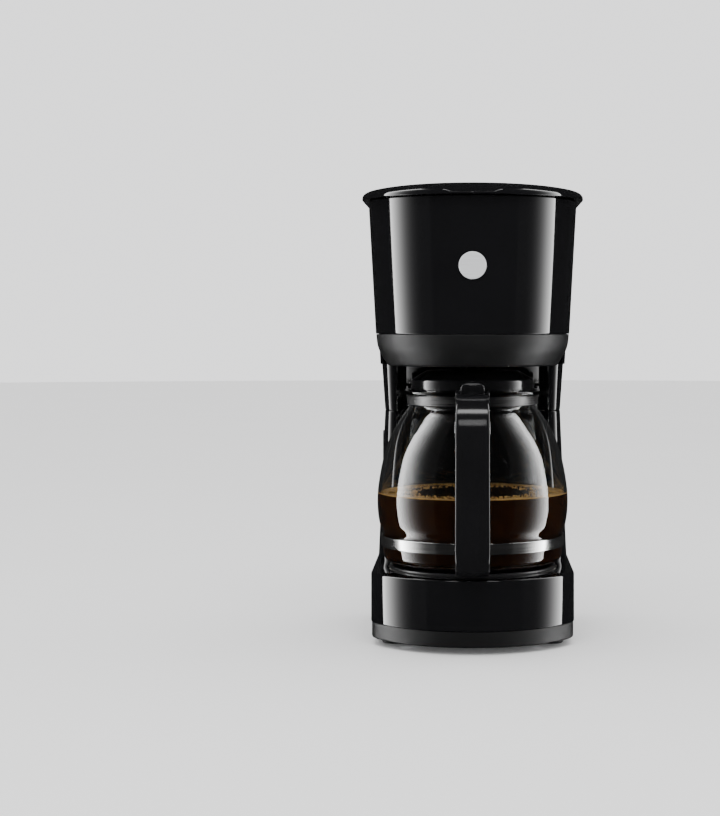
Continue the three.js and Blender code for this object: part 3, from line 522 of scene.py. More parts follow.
@dataclass(frozen=True)
class Brushed(Finish):
    """Brushed metal, with streaks that run level round the piece."""

    def detail(self, graph: Graph) -> None:
        """Noise squeezed along Z makes level streaks in colour, roughness and height."""
        streaks = graph.noise(1.0, 5.0, graph.stretched((26.0, 26.0, self.grain)))
        patch = graph.noise(40.0, 3.0)
        graph.color(graph.blend(streaks, shade(self.color, 0.72), shade(self.color, 1.2)))
        rough = graph.spread(streaks, self.roughness * 0.7, self.roughness * 1.3)
        graph.roughness(graph.add(rough, patch, 0.05))
        graph.bump(streaks, self.relief, 0.0001)


@dataclass(frozen=True)
class Plated(Finish):
    """Plated or cast metal, with a crystal pattern and small pits."""

    def detail(self, graph: Graph) -> None:
        """Cells vary the colour, and noise pits the surface."""
        crystals = graph.cells(self.grain)
        pits = graph.noise(self.grain * 1.7, 4.0)
        graph.color(graph.blend(crystals, shade(self.color, 0.8), shade(self.color, 1.12)))
        graph.roughness(graph.spread(pits, self.roughness * 0.8, self.roughness * 1.3))
        graph.bump(graph.add(pits, crystals, 0.4), self.relief, 0.0002)


@dataclass(frozen=True)
class Woven(Finish):
    """A woven sleeve: two crossed sets of threads."""

    def detail(self, graph: Graph) -> None:
        """Waves along two slanted directions cross as threads do; the hollows between them get painted shade.
        """
        threads = []
        for turn in (0.8, -0.8):
            wave = graph.tree.nodes.new("ShaderNodeTexWave")
            wave.inputs["Scale"].default_value = self.grain
            wave.inputs["Distortion"].default_value = 0.6
            graph.link(graph.stretched((1.0, 1.0, 1.0), (turn, 0.0, turn)), wave.inputs["Vector"])
            threads.append(wave.outputs["Fac"])
        height = graph.add(threads[0], threads[1], 1.0)
        # painted shade: the low places between the threads are coloured darker
        lit = graph.spread(height, 0.0, 1.0, 0.2, 1.6)
        graph.color(graph.blend(lit, shade(self.color, 0.55), self.color))
        graph.roughness(graph.spread(height, self.roughness, self.roughness * 0.85, 0.2, 1.6))
        graph.bump(height, self.relief, 0.0004)


@dataclass(frozen=True)
class Speckled(Finish):
    """A non-stick coating: a dark ground with fine pale flecks and a pebbled surface."""

    def detail(self, graph: Graph) -> None:
        """Flecks are the cores of scattered cells."""
        flecks = graph.spread(graph.cells(self.grain), 1.0, 0.0, 0.12, 0.2)
        pebble = graph.noise(self.grain * 0.8, 3.0)
        graph.color(graph.blend(flecks, self.color, shade(self.color, 4.5)))
        graph.roughness(graph.spread(pebble, self.roughness * 0.8, self.roughness * 1.25))
        graph.bump(pebble, self.relief, 0.0003)


@dataclass(frozen=True)
class Clear(Finish):
    """Glass or clear plastic, with the faint unevenness of blown or moulded walls."""

    def detail(self, graph: Graph) -> None:
        """Long waves tilt the surface, and specks of dust roughen it a little."""
        wave = graph.noise(self.grain, 1.0)
        specks = graph.noise(700.0, 5.0)
        graph.color(graph.blend(wave, shade(self.color, 0.985), self.color))
        graph.roughness(graph.spread(specks, self.roughness, self.roughness + 0.02, 0.55, 0.8))
        graph.bump(wave, self.relief, 0.0005)


@dataclass(frozen=True)
class Brew(Finish):
    """Black coffee: brown at its edges where light gets in, with slow swirls."""

    def detail(self, graph: Graph) -> None:
        """Swirls vary the brown; light that enters is scattered back warmer."""
        swirl = graph.noise(60.0, 5.0)
        graph.color(graph.blend(swirl, shade(self.color, 0.7), shade(self.color, 1.25)))
        graph.shader.inputs["Subsurface Weight"].default_value = 0.15
        graph.shader.inputs["Subsurface Radius"].default_value = (0.006, 0.002, 0.0006)
        graph.bump(graph.noise(40.0, 1.0), self.relief, 0.0004)


@dataclass(frozen=True)
class Froth(Finish):
    """Golden froth made of fine bubbles."""

    def detail(self, graph: Graph) -> None:
        """Bubble cells give each its bump and a darker rim, painted shade between the bubbles, over patches
        of lighter foam.
        """
        bubbles = graph.cells(self.grain)
        small = graph.cells(self.grain * 2.3)
        patch = graph.noise(110.0, 4.0)
        # lighter foam patches, minus painted shade that darkens towards each bubble's edge
        foam_and_rim_shade = graph.add(graph.spread(patch, 0.0, 0.8, 0.35, 0.65), bubbles, -0.5)
        graph.color(graph.blend(foam_and_rim_shade, shade(self.color, 0.5), shade(self.color, 1.1)))
        graph.roughness(graph.spread(bubbles, self.roughness * 0.6, self.roughness * 1.3, 0.0, 0.6))
        graph.bump(graph.add(bubbles, small, 0.5), self.relief, -0.0008)


class Palette:
    """Makes each finish once and hands it out."""

    FINISHES = (
        Gloss(Slot.GLOSS_BLACK, (0.0045, 0.0045, 0.005), 0.045, ior=1.54, relief=0.035),
        Finish(Slot.MATTE_BLACK, (0.0065, 0.0066, 0.0071), 0.46, grain=2600.0, relief=0.28),
        Finish(Slot.SATIN_BLACK, (0.005, 0.005, 0.0055), 0.12, grain=1800.0, relief=0.05),
        Brushed(
            Slot.BRUSHED_STEEL,
            (0.12, 0.12, 0.12),
            0.3,
            metallic=1.0,
            anisotropy=0.5,
            grain=2600.0,
            relief=0.2,
        ),
        Brushed(Slot.POLISHED_STEEL, (0.66, 0.66, 0.65), 0.14, metallic=1.0, grain=900.0, relief=0.04),
        Plated(Slot.ZINC_STEEL, (0.56, 0.57, 0.58), 0.34, metallic=1.0, grain=900.0, relief=0.12),
        Plated(Slot.ALUMINIUM, (0.62, 0.63, 0.64), 0.42, metallic=1.0, grain=420.0, relief=0.3),
        Finish(Slot.RUBBER, (0.02, 0.02, 0.021), 0.72, grain=1500.0, relief=0.35),
        Finish(Slot.SILICONE, (0.72, 0.7, 0.66), 0.42, grain=700.0, relief=0.1),
        Woven(Slot.FUSE_SLEEVE, (0.8, 0.78, 0.7), 0.8, grain=420.0, relief=0.6),
        Clear(Slot.SMOKED_PLASTIC, (0.33, 0.345, 0.36), 0.08, transmission=0.85, grain=25.0, relief=0.03),
        Clear(
            Slot.CLEAR_GLASS, (0.985, 0.99, 0.99), 0.0, transmission=1.0, ior=1.47, grain=16.0, relief=0.02
        ),
        Speckled(Slot.PLATE_COATING, (0.014, 0.014, 0.0145), 0.36, coat=0.2, grain=900.0, relief=0.15),
        Brushed(Slot.BADGE_SILVER, (0.66, 0.67, 0.68), 0.38, metallic=0.25, grain=1700.0, relief=0.12),
        Brew(Slot.COFFEE, (0.0165, 0.0052, 0.001), 0.06, ior=1.34, relief=0.05),
        Froth(Slot.CREMA, (0.7, 0.4, 0.1), 0.32, grain=1100.0, relief=0.9),
    )
    UNRECORDED = (Slot.COFFEE, Slot.CREMA)

    def __init__(self) -> None:
        """Makes every material."""
        self.materials = {finish.slot: finish.material() for finish in self.FINISHES}

    def dress(self, obj: Thing, slot: Slot) -> None:
        """Gives an object's whole surface one finish."""
        obj.data.materials.clear()
        obj.data.materials.append(self.materials[slot])


@dataclass
class Assembly:
    """A sub-assembly: it builds pieces, dresses them and lets them ride."""

    palette: Palette
    made: list[str] = field(default_factory=list)

    def add(
        self, obj: Thing, slot: Slot, body: Body, *nodes: str, fillet: float = 0.0
    ) -> Thing:
        """Dresses a piece and places it on its body.

        Args:
            obj: The piece.
            slot: Its finish.
            body: The body that it rides on.
            *nodes: CAD nodes that it stands for.
            fillet: Radius in millimetres of a bevel on its sharp edges, or 0 for none.

        Returns:
            The piece.
        """
        if fillet > 0:
            Surface.bevel(obj, fillet)
        self.palette.dress(obj, slot)
        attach(obj, body.value)
        if nodes:
            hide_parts(*nodes)
        self.made.append(obj.name)
        return obj

    def turned(
        self,
        name: str,
        section: Array,
        segments: int,
        slot: Slot,
        body: Body,
        *nodes: str,
        sharp: float = 40.0,
    ) -> Thing:
        """Adds a piece that is a section turned about the axis."""
        return self.add(Surface.revolved(name, section, segments, sharp=sharp), slot, body, *nodes)

    def keep(self, node: str, slot: Slot) -> None:
        """Shows a CAD node as it is, with a better material."""
        self.palette.dress(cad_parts[node], slot)
        self.made.append(node)


# ---- The machine's plans -------------------------------------------------------------------------------


def mirrored(half: Array) -> Array:
    """A path from the back to the middle of the front, and the same path back on the other side."""
    return chain(half, half[::-1] * (-1.0, 1.0))


def hubbed(
    outline: Plan, edge: float, hub: float, radius: float
) -> Plan:
    """Lets an outline turn into a circle as its inset grows.

    Up to edge the outline is itself. From edge to hub each point runs straight to the point of the circle
    at its own angle about the axis. Past hub the circle shrinks by the rest of the inset.

    Args:
        outline: The plan for an inset and a height.
        edge: Inset where the change starts.
        hub: Inset where the circle is reached.
        radius: The circle's radius there.

    Returns:
        The plan that does so.
    """

    def placed(inset: float, z: float) -> Array:
        rim = outline(min(inset, edge), z)
        angle = np.arctan2(rim[:, 1], rim[:, 0])
        size = max(radius - max(inset - hub, 0.0), 0.0)
        circle = size * np.stack([np.cos(angle), np.sin(angle)], axis=1)
        share = np.clip((inset - edge) / (hub - edge), 0, 1)
        return (1 - share) * rim + share * circle

    return placed


@dataclass(frozen=True)
class Shell:
    """The sizes that the housings share, and their plans."""

    wall: float = 2.4
    seam: float = 0.3
    back: float = 108.0
    rear_corner: float = 22.0
    opening: float = 46.3
    skirt_top: float = 16.5
    deck: float = 51.5
    waist: float = 162.6
    head_bottom: float = 198.0
    band_top: float = 221.0
    head_top: float = 317.0
    cover_bottom: float = 20.8
    cover_top: float = 308.0
    base_half: float = 72.5
    base_radius: float = 82.0
    base_front: float = -78.0
    base_corner: float = 24.0
    deck_half: float = 71.9
    waist_half: float = 66.8
    head_bottom_half: float = 69.3
    head_top_half: float = 75.9
    rim_half: float = 80.5
    bay_radius: float = 74.0
    bay_half: float = 51.8
    ridge_x: float = 58.4
    ridge_y: float = 45.0

    def half_width(self, z: float) -> float:
        """Half the width at a height: straight runs from deck to waist to the head's foot to its top."""
        heights = (self.deck, self.waist, self.head_bottom, self.head_top)
        widths = (self.deck_half, self.waist_half, self.head_bottom_half, self.head_top_half)
        return float(np.interp(z, heights, widths))

    def rear(self, half: float, inset: float) -> Array:
        """From the edge of the rear opening, along the back and round the rear corner to the side."""
        radius = self.rear_corner - inset
        back = self.back - inset
        return chain(
            line((self.opening, back), (half - radius, back), 7),
            arc(half - radius, back - radius, radius, 90, 0, 13),
        )

    def base(self, inset: float, _z: float) -> Array:
        """The base: an arc in front, a corner arc into each straight side, and round rear corners."""
        half, corner = self.base_half - inset, self.base_corner - inset
        radius = self.base_radius - inset
        centre_y = self.base_front + self.base_radius
        corner_x = half - corner
        corner_y = centre_y - np.sqrt((radius - corner) ** 2 - corner_x**2)
        bend = np.degrees(np.arctan2(corner_y - centre_y, corner_x))
        side = line((half, self.back - self.rear_corner), (half, corner_y), 14)
        turn = arc(corner_x, corner_y, corner, 0, bend, 12)
        front = arc(0, centre_y, radius, bend, -90, 26)
        return mirrored(chain(self.rear(half, inset), side, turn, front))

    def head(self, inset: float, z: float) -> Array:
        """The head: a half circle in front and flat sides, scaled with height, but not towards the back.

        The edges of the rear opening stay where they are, so the rear cover fits at every height.
        """
        half = self.head_top_half - inset
        side = line((half, self.back - self.rear_corner), (half, 0), 14)
        path = mirrored(chain(self.rear(half, inset), side, arc(0, 0, half, 0, -90, 40)))
        scale = self.half_width(z) / self.head_top_half
        path = path * np.stack([np.full(len(path), scale), np.where(path[:, 1] < 0, scale, 1.0)], axis=1)
        return self.clear_of_opening(path)

    def clear_of_opening(self, path: Array) -> Array:
        """Moves points behind the axis out to the rear opening's edge where they would lie inside it."""
        x, y = path[:, 0], path[:, 1]
        outside = np.sign(x) * np.maximum(np.abs(x), self.opening)
        return np.stack([np.where(y > self.ridge_y, outside, x), y], axis=1)

    def column(self, inset: float, z: float) -> Array:
        """The column: the bay's hollow arc, a flank to the ridge, a curve to the side, and the flat back.

        Past the ridge, x grows so that the side stands at the width for the height.
        """
        half = self.base_half - inset
        ridge_y = self.ridge_y + inset
        bay_x = self.bay_half - inset / 2
        bay = self.bay_radius + inset
        bay_y = np.sqrt(bay**2 - bay_x**2)
        share = np.linspace(0, 1, 12)[:, None]
        side_end = np.array((half, ridge_y + 18.0))
        corner = np.array((half, ridge_y + 3.0))
        ridge = np.array((self.ridge_x + 1.0, ridge_y))
        cheek = (1 - share) ** 2 * side_end + 2 * share * (1 - share) * corner + share**2 * ridge
        path = mirrored(
            chain(
                self.rear(half, inset),
                line((half, self.back - self.rear_corner), side_end, 6),
                cheek,
                rounded(
                    [(*ridge, 0), (self.ridge_x - 1.0, ridge_y, 0.8), (bay_x, bay_y, 0)], 3, closed=False
                ),
                arc(0, 0, bay, np.degrees(np.arctan2(bay_y, bay_x)), 90, 24),
            )
        )
        beyond = np.abs(path[:, 0]) - self.ridge_x
        grown = (self.half_width(z) - self.ridge_x) / (self.base_half - self.ridge_x)
        x = np.where(beyond > 0, np.sign(path[:, 0]) * (self.ridge_x + beyond * grown), path[:, 0])
        return np.stack([x, path[:, 1]], axis=1)


SHELL = Shell()


# ---- Base ----------------------------------------------------------------------------------------------


@dataclass
class Base(Assembly):
    """The base: bottom cover, feet, lower housing, hot plate and what heats it."""

    floor: float = 5.0
    floor_top: float = 7.5
    skirt_inset: float = 0.6
    plate_radius: float = 60.5
    plate_top: float = 53.4
    edge: float = 1.5

    def build(self) -> None:
        """Builds the base from the table upwards."""
        self.bottom_cover()
        self.feet()
        self.housing()
        self.lower_column()
        self.hot_plate()
        self.switch()
        self.inside()

    def bottom_cover(self) -> None:
        """A tray: its section runs down the skirt, in to the middle, back out over the floor and up."""
        inset, wall, top = self.skirt_inset, SHELL.wall, SHELL.skirt_top - SHELL.seam
        middle = 74.0
        corners = [
            (inset, top, 0.4),
            (inset, self.floor, 1.6),
            (middle, self.floor, 0),
            (middle, self.floor_top, 0),
            (inset + wall, self.floor_top, 0.6),
            (inset + wall, top, 0.3),
        ]
        plan = hubbed(SHELL.base, 4.0, 14.0, middle - 14.0)
        tray = ring_piece("bottom_cover", plan, rounded(corners), sharp=50)
        tools = [
            Surface.block((9 * i - 2, 20, 0), (9 * i + 2, 52, 12)) for i in range(-2, 3)
        ]
        for i in range(1, 5):
            x, y, _ = centre_of(f"foot_{i}")
            tools.append(self.drill(x, y, 3.3))
            x, y, _ = centre_of(f"cover_screw_{i}")
            tools.append(self.drill(x, y, 1.7))
        self.add(Surface.carve(tray, *tools), Slot.MATTE_BLACK, Body.ROOT, "bottom_cover")

    @staticmethod
    def drill(x: float, y: float, radius: float) -> Thing:
        """An upright drill through the floor at a place given in the frame."""
        profile = np.array([(0, 0), (radius, 0), (radius, 12), (0, 12)], float)
        return Surface.revolved("tool", profile, 20, (x, y - AXIS_Y))

    def feet(self) -> None:
        """Each foot is a round pad with a stem: a section turned about its own axis."""
        for i in range(1, 5):
            x, y, _ = centre_of(f"foot_{i}")
            section = rounded(
                [(0, 0, 0), (7.4, 0, 1.0), (8, 1.6, 0.8), (8, 4.7, 0.3), (3, 4.7, 0), (3, 9, 0.5), (0, 9, 0)],
                closed=False,
            )
            obj = Surface.revolved(f"rubber_foot_{i}", section, 40, (x, y - AXIS_Y))
            self.add(obj, Slot.RUBBER, Body.ROOT, f"foot_{i}")
            self.keep(f"cover_screw_{i}", Slot.ZINC_STEEL)

    def housing(self) -> None:
        """The base moulding: its section climbs the wall, crosses the deck to the hole and returns."""
        wall, deck, foot = SHELL.wall, SHELL.deck, SHELL.skirt_top
        hole = 16.0
        corners = [
            (0, foot, 0.5),
            (0, deck, self.edge),
            (hole, deck, 0.7),
            (hole, deck - wall, 0.3),
            (wall, deck - wall, 0.8),
            (wall, foot, 0.3),
        ]
        plan = hubbed(SHELL.base, 4.0, 16.0, self.plate_radius + 1.5)
        shell = ring_piece("base_housing", plan, rounded(corners, 5), sharp=50)
        _, y, z = centre_of("power_switch")
        opening = SHELL.opening
        tools = [
            Surface.block(
                (-opening, SHELL.back - wall - 1, SHELL.cover_bottom - 0.3),
                (opening, SHELL.back + 1, deck + 5),
            ),
            Surface.block((60, y - AXIS_Y - 10.5, z - 6.5), (80, y - AXIS_Y + 10.5, z + 6.5)),
            self.column_core(deck - 5, deck + 5),
        ]
        self.add(Surface.carve(shell, *tools, sharp=50), Slot.GLOSS_BLACK, Body.ROOT, "lower_housing")

    @staticmethod
    def column_core(low: float, high: float) -> Thing:
        """The room inside the column between two heights, as a cutting tool."""
        return Surface.sheet("tool", layers(SHELL.column(SHELL.wall, SHELL.deck), (low, high)), False, True)

    def lower_column(self) -> None:
        """The column up to the waist: a wall's section carried round the column's plan, open at the back."""
        top = SHELL.waist - SHELL.seam
        section = rounded(
            [
                (0, SHELL.deck - 1, 0),
                (0, top, 0.5),
                (SHELL.wall, top, 0.3),
                (SHELL.wall, SHELL.deck - 1, 0),
            ],
            3,
        )
        wall = ring_piece("lower_column", SHELL.column, section, closed=False, sharp=35)
        low, high = (np.array(corner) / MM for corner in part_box("level_window"))
        half = (high[1] - low[1]) / 2 + 0.3
        y = (high[1] + low[1]) / 2 - AXIS_Y
        path = chain(
            arc(y, high[2] - half + 0.3, half, 0, 180, 16), arc(y, low[2] + half - 0.3, half, 180, 360, 16)
        )
        tool = Surface.sheet("tool", layers(path, (-80.0, -60.0), 0), False, True)
        self.add(Surface.carve(wall, tool, sharp=35), Slot.GLOSS_BLACK, Body.ROOT, "lower_housing")

    def hot_plate(self) -> None:
        """A pressed plate with a low rim: one section turned about the axis."""
        deck, radius, top = SHELL.deck, self.plate_radius, self.plate_top
        section = rounded(
            [
                (0, deck - 3, 0),
                (radius - 2, deck - 3, 0.5),
                (radius, deck, 0.5),
                (radius, deck + 1.6, 0.8),
                (radius - 1.2, deck + 2.15, 0.8),
                (radius - 3.6, top, 1.2),
                (radius - 12, top, 1.0),
                (radius - 13, top - 0.3, 1.0),
                (0, top - 0.3, 0),
            ],
            closed=False,
        )
        self.turned("hot_plate_pressed", section, 160, Slot.PLATE_COATING, Body.ROOT, "hot_plate")
        self.keep("hot_plate_seal", Slot.SILICONE)

    def switch(self) -> None:
        """The rocker and its bezel keep their frame shapes."""
        self.keep("switch_bezel", Slot.SATIN_BLACK)
        self.keep("power_switch", Slot.SATIN_BLACK)

    def inside(self) -> None:
        """What the base hides: the boiler tube as a smooth horseshoe, and its clamp, thermostat and fuses."""
        self.heater()
        self.keep("heater_clamp", Slot.ZINC_STEEL)
        self.keep("clamp_screw_1", Slot.ZINC_STEEL)
        self.keep("clamp_screw_2", Slot.ZINC_STEEL)
        self.keep("thermostat", Slot.ALUMINIUM)
        self.keep("thermal_fuse_1", Slot.FUSE_SLEEVE)
        self.keep("thermal_fuse_2", Slot.FUSE_SLEEVE)

    def heater(self) -> None:
        """A half circle in front and two legs that close in behind, swept with a round section."""
        low, high = (np.array(corner) / MM - (0, AXIS_Y, 0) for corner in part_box("heater_tube"))
        tube = (high[2] - low[2]) / 2
        radius, z = high[0] - tube, (high[2] + low[2]) / 2
        leg = [(24, high[1], z), (24, high[1] - 8, z), (radius - 2, 32, z), (radius, 0, z)]
        bow = np.column_stack([arc(0, 0, radius, 0, -180, 40), np.full(40, z)])
        side = smooth_through(leg, 24)
        path = chain(side, bow, side[::-1] * (-1.0, 1.0, 1.0))
        self.add(Surface.tube("boiler_tube", path, tube, 24), Slot.ALUMINIUM, Body.ROOT, "heater_tube")


# ---- Column and water way ------------------------------------------------------------------------------


@dataclass
class Column(Assembly):
    """The upper column, the rear cover, the tank and the tubes."""

    def build(self) -> None:
        """Builds the column's own pieces; the rest keep their frame shapes."""
        self.upper_column()
        self.rear_cover()
        self.gland()
        self.level_window()
        for i in range(1, 5):
            self.keep(f"rear_screw_{i}", Slot.ZINC_STEEL)
        self.keep("water_tank", Slot.SMOKED_PLASTIC)
        self.keep("spout", Slot.SATIN_BLACK)
        for node in ("tank_seal", "check_valve", "inlet_hose", "riser_tube"):
            self.keep(node, Slot.SILICONE)

    def upper_column(self) -> None:
        """The column from the waist into the head, open at the back."""
        low, high = SHELL.waist + SHELL.seam, SHELL.head_bottom + 1
        section = rounded([(0, low, 0.5), (0, high, 0), (SHELL.wall, high, 0), (SHELL.wall, low, 0.3)], 3)
        wall = ring_piece("upper_column", SHELL.column, section, closed=False, sharp=35)
        self.add(wall, Slot.GLOSS_BLACK, Body.ROOT, "upper_housing")

    def rear_cover(self) -> None:
        """A flat panel with rounded edges; its holes are cut through."""
        low, high = (np.array(corner) / MM - (0, AXIS_Y, 0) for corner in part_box("rear_cover"))
        panel = Surface.block(low, high, "rear_panel")
        tools = []
        for i in range(1, 5):
            x, _, z = centre_of(f"rear_screw_{i}")
            tools.append(self.cross_drill(x, z, 1.7))
        x, _, z = centre_of("cord_gland")
        tools.append(self.cross_drill(x, z, 5.3))
        panel = Surface.carve(panel, *tools)
        self.add(panel, Slot.MATTE_BLACK, Body.ROOT, "rear_cover", fillet=0.5)

    @staticmethod
    def cross_drill(x: float, z: float, radius: float) -> Thing:
        """A drill through the back, along Y."""
        circle = arc(x, z, radius, 0, 345, 24)
        return Surface.sheet("tool", layers(circle, (SHELL.back - 6, SHELL.back + 2), 1), False, True)

    def gland(self) -> None:
        """The cord's gland: a bored rubber sleeve with a flange, turned about a line along Y."""
        low, high = (np.array(corner) / MM - (0, AXIS_Y, 0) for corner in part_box("cord_gland"))
        x, z = (low[0] + high[0]) / 2, (low[2] + high[2]) / 2
        back = SHELL.back
        section = rounded(
            [
                (2.8, -9, 0.3),
                (5, -9, 0.5),
                (5, 0.2, 0),
                (8, 0.2, 0.3),
                (7.4, 2, 0.8),
                (4, 2, 0.8),
                (2.8, 1, 0.5),
            ]
        )
        angle = np.linspace(0, TAU, 48, endpoint=False)[:, None]
        grid = np.stack(
            [
                x + section[:, 0] * np.cos(angle),
                back + np.broadcast_to(section[:, 1], (48, len(section))),
                z + section[:, 0] * np.sin(angle),
            ],
            axis=-1,
        )
        self.add(Surface.sheet("cord_sleeve", grid, True, True), Slot.RUBBER, Body.ROOT, "cord_gland")

    def level_window(self) -> None:
        """The level window keeps its frame shape."""
        self.keep("level_window", Slot.SMOKED_PLASTIC)


# ---- Head ----------------------------------------------------------------------------------------------


@dataclass
class Head(Assembly):
    """The head: housing, band, badge, lid and the brewing parts inside."""

    recess_radius: float = 50.0
    recess_top: float = 206.0
    outlet: float = 15.0
    chamfer_top: float = 210.6
    chamfer_half: float = 62.0
    band_back: float = 38.0
    hinge_y: float = 99.0
    hinge_z: float = 320.6
    shoulder: float = 321.6
    lid_top: float = 328.4
    chamfer_soft: float = 4.0
    notch_half: float = 19.0
    notch_depth: float = 2.6

    def build(self) -> None:
        """Builds the head from the band upwards."""
        self.band()
        self.housing()
        self.head_foot()
        self.well()
        self.rear_bar()
        self.badge()
        self.lid()
        self.brewing()

    def band_plan(self, inset: float, z: float) -> Array:
        """The band: a half circle and straight sides in front, closed behind by an arc inside the bay's wall.

        Below the chamfer's top the half width shrinks evenly to chamfer_half. The bend is softened: a depth d
        below the chamfer's top counts as (d + the root of (d squared + chamfer_soft squared)) / 2.
        """
        depth = self.chamfer_top - z
        soft_depth = (depth + np.sqrt(depth**2 + self.chamfer_soft**2)) / 2
        shrink = SHELL.half_width(self.chamfer_top) - self.chamfer_half
        run = shrink / (self.chamfer_top - SHELL.head_bottom)
        half = SHELL.half_width(max(z, self.chamfer_top)) - run * soft_depth
        half -= inset
        radius = SHELL.bay_radius - SHELL.seam - inset
        bay_x = SHELL.bay_half - inset / 2
        bay_y = np.sqrt(radius**2 - bay_x**2)
        back = self.band_back - inset
        return mirrored(
            chain(
                arc(0, 0, radius, 90, np.degrees(np.arctan2(bay_y, bay_x)), 22),
                line((bay_x + 0.5, back + 4), (half, back), 5),
                line((half, back), (half, 0), 10)[1:],
                arc(0, 0, half, 0, -90, 40),
            )
        )

    def band(self) -> None:
        """The matte tray under the head: wall, chamfer, underside, and a pocket round the outlet."""
        hub, bottom, top = 14.0, SHELL.head_bottom, SHELL.band_top - SHELL.seam
        ring = self.recess_radius + 2.2
        at = hub + ring
        corners = [
            (0, top, 0.5),
            *[(0, z, 0) for z in np.linspace(top - 2, bottom + 3, 10)],
            (0, bottom, 1.4),
            (at - self.recess_radius, bottom, 1.0),
            (at - self.recess_radius, self.recess_top, 0.8),
            (at - self.outlet, self.recess_top, 0.8),
            (at - self.outlet, self.recess_top + 2.2, 0.5),
            (hub, self.recess_top + 2.2, 0.5),
            (hub, bottom + 2.2, 0.3),
            (hub - 7, bottom + 2.2, 0.5),
            (SHELL.wall, self.chamfer_top, 0.5),
            (SHELL.wall, top, 0.3),
        ]
        plan = hubbed(self.band_plan, 4.0, hub, ring)
        tray = ring_piece("head_band_moulding", plan, rounded(corners, 4), sharp=50)
        self.add(tray, Slot.MATTE_BLACK, Body.ROOT, "head_band")

    def housing(self) -> None:
        """The head's wall over the band, open at the back for the rear cover, and the bar above that."""
        low, high, wall = SHELL.band_top, SHELL.head_top, SHELL.wall
        section = rounded([(0, low, 0.7), (0, high, 0.7), (wall, high, 0.5), (wall, low, 0.4)], 4)
        self.add(
            ring_piece("head_housing", SHELL.head, section, closed=False, sharp=50),
            Slot.GLOSS_BLACK,
            Body.ROOT,
            "upper_housing",
        )
        reach = SHELL.opening + 0.5
        ends = (-reach, SHELL.back - wall, SHELL.cover_top + 0.3), (reach, SHELL.back, high)
        bar = Surface.block(*ends, "head_rear_bar")
        self.add(bar, Slot.GLOSS_BLACK, Body.ROOT, "upper_housing", fillet=0.2)

    def head_foot(self) -> None:
        """The head's sides and rear corners behind the band, down to its foot."""
        low, high, wall = SHELL.head_bottom, SHELL.band_top + 0.4, SHELL.wall
        front = self.band_back + SHELL.seam
        for side, name in ((1, "right"), (-1, "left")):

            def plan(inset: float, z: float, side: int = side) -> Array:
                half = SHELL.head_top_half - inset
                side_line = line((half, SHELL.back - SHELL.rear_corner), (half, front), 10)
                path = chain(SHELL.rear(half, inset), side_line)
                return SHELL.clear_of_opening(path * (side * SHELL.half_width(z) / SHELL.head_top_half, 1.0))

            section = rounded([(0, low, 0.6), (0, high, 0), (wall, high, 0), (wall, low, 0.3)], 3)
            obj = ring_piece(f"head_foot_{name}", plan, section, closed=False, sharp=50)
            self.add(obj, Slot.GLOSS_BLACK, Body.ROOT, "upper_housing")

    def well(self) -> None:
        """The round wall that the filter basket hangs in."""
        section = rounded([(61, 222, 0.3), (63.2, 222, 0.3), (63.2, 304, 0.6), (61, 304, 0.6)], 3)
        self.turned("basket_well", section, 128, Slot.GLOSS_BLACK, Body.ROOT, "upper_housing")

    def rear_bar(self) -> None:
        """The fixed strip of the rim behind the lid, and the lugs that hold the lid's pins.

        Its plan is the rim's: straight sides and large rear corners, cut off in front at the lugs.
        """
        half, corner, back = SHELL.rim_half, SHELL.rear_corner + 4.6, SHELL.back
        bottom, top = SHELL.head_top - 0.2, self.hinge_z + 2
        lug, front, behind = 58.4, self.hinge_y - 3.6, self.hinge_y + 3.2

        def plan(inset: float, _z: float) -> Array:
            turn = arc(half - corner, back - corner, corner - inset, 0, 90, 16)
            turn = turn[turn[:, 1] > front + inset]
            edge = half - corner + np.sqrt((corner - inset) ** 2 - (front + inset - back + corner) ** 2)
            outer = chain(np.array([[edge, front + inset]]), turn[-9:])
            inner = line((0, back - inset), (half - corner, back - inset), 4)[::-1]
            notch = np.array(
                [(lug + inset, front + inset), (lug + inset, behind + inset), (0, behind + inset)], float
            )
            ahead = chain(outer, inner)
            behind_line = notch[::-1]
            return np.concatenate([ahead, ahead[::-1][1:] * (-1, 1), behind_line[1:] * (-1, 1), notch[:-1]])

        section = np.array([(0, bottom), (0, top - 0.9), (0.26, top - 0.26), (0.9, top)])
        loops = np.stack([np.insert(plan(inset, z), 2, z, axis=1) for inset, z in section])
        bar = Surface.sheet("rim_rear", loops, False, True, sharp=50)
        self.add(bar, Slot.GLOSS_BLACK, Body.ROOT, "upper_housing")

    def badge(self) -> None:
        """A plain round disc with a soft edge, leaning with the head's front."""
        low, high = (np.array(corner) / MM - (0, AXIS_Y, 0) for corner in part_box("badge"))
        radius, z = (high[0] - low[0]) / 2, (high[2] + low[2]) / 2
        lean = np.arctan(
            (SHELL.head_top_half - SHELL.head_bottom_half) / (SHELL.head_top - SHELL.head_bottom)
        )
        corners = [(0, 0, 0), (radius, 0, 0.2), (radius, 1.4, 0.6), (radius - 1.4, 1.5, 0.5), (0, 1.1, 0)]
        section = rounded(corners, 4, closed=False)
        angle = np.linspace(0, TAU, 64, endpoint=False)[:, None]
        across = section[:, 0] * np.cos(angle)
        up = section[:, 0] * np.sin(angle)
        out = np.broadcast_to(section[:, 1], across.shape)
        front = -SHELL.half_width(z) - 0.15
        y = front - out * np.cos(lean) - up * np.sin(lean)
        height = z + up * np.cos(lean) - out * np.sin(lean)
        grid = np.stack([across, y, height], axis=-1)
        self.add(Surface.sheet("round_badge", grid, True, True), Slot.BADGE_SILVER, Body.ROOT, "badge")

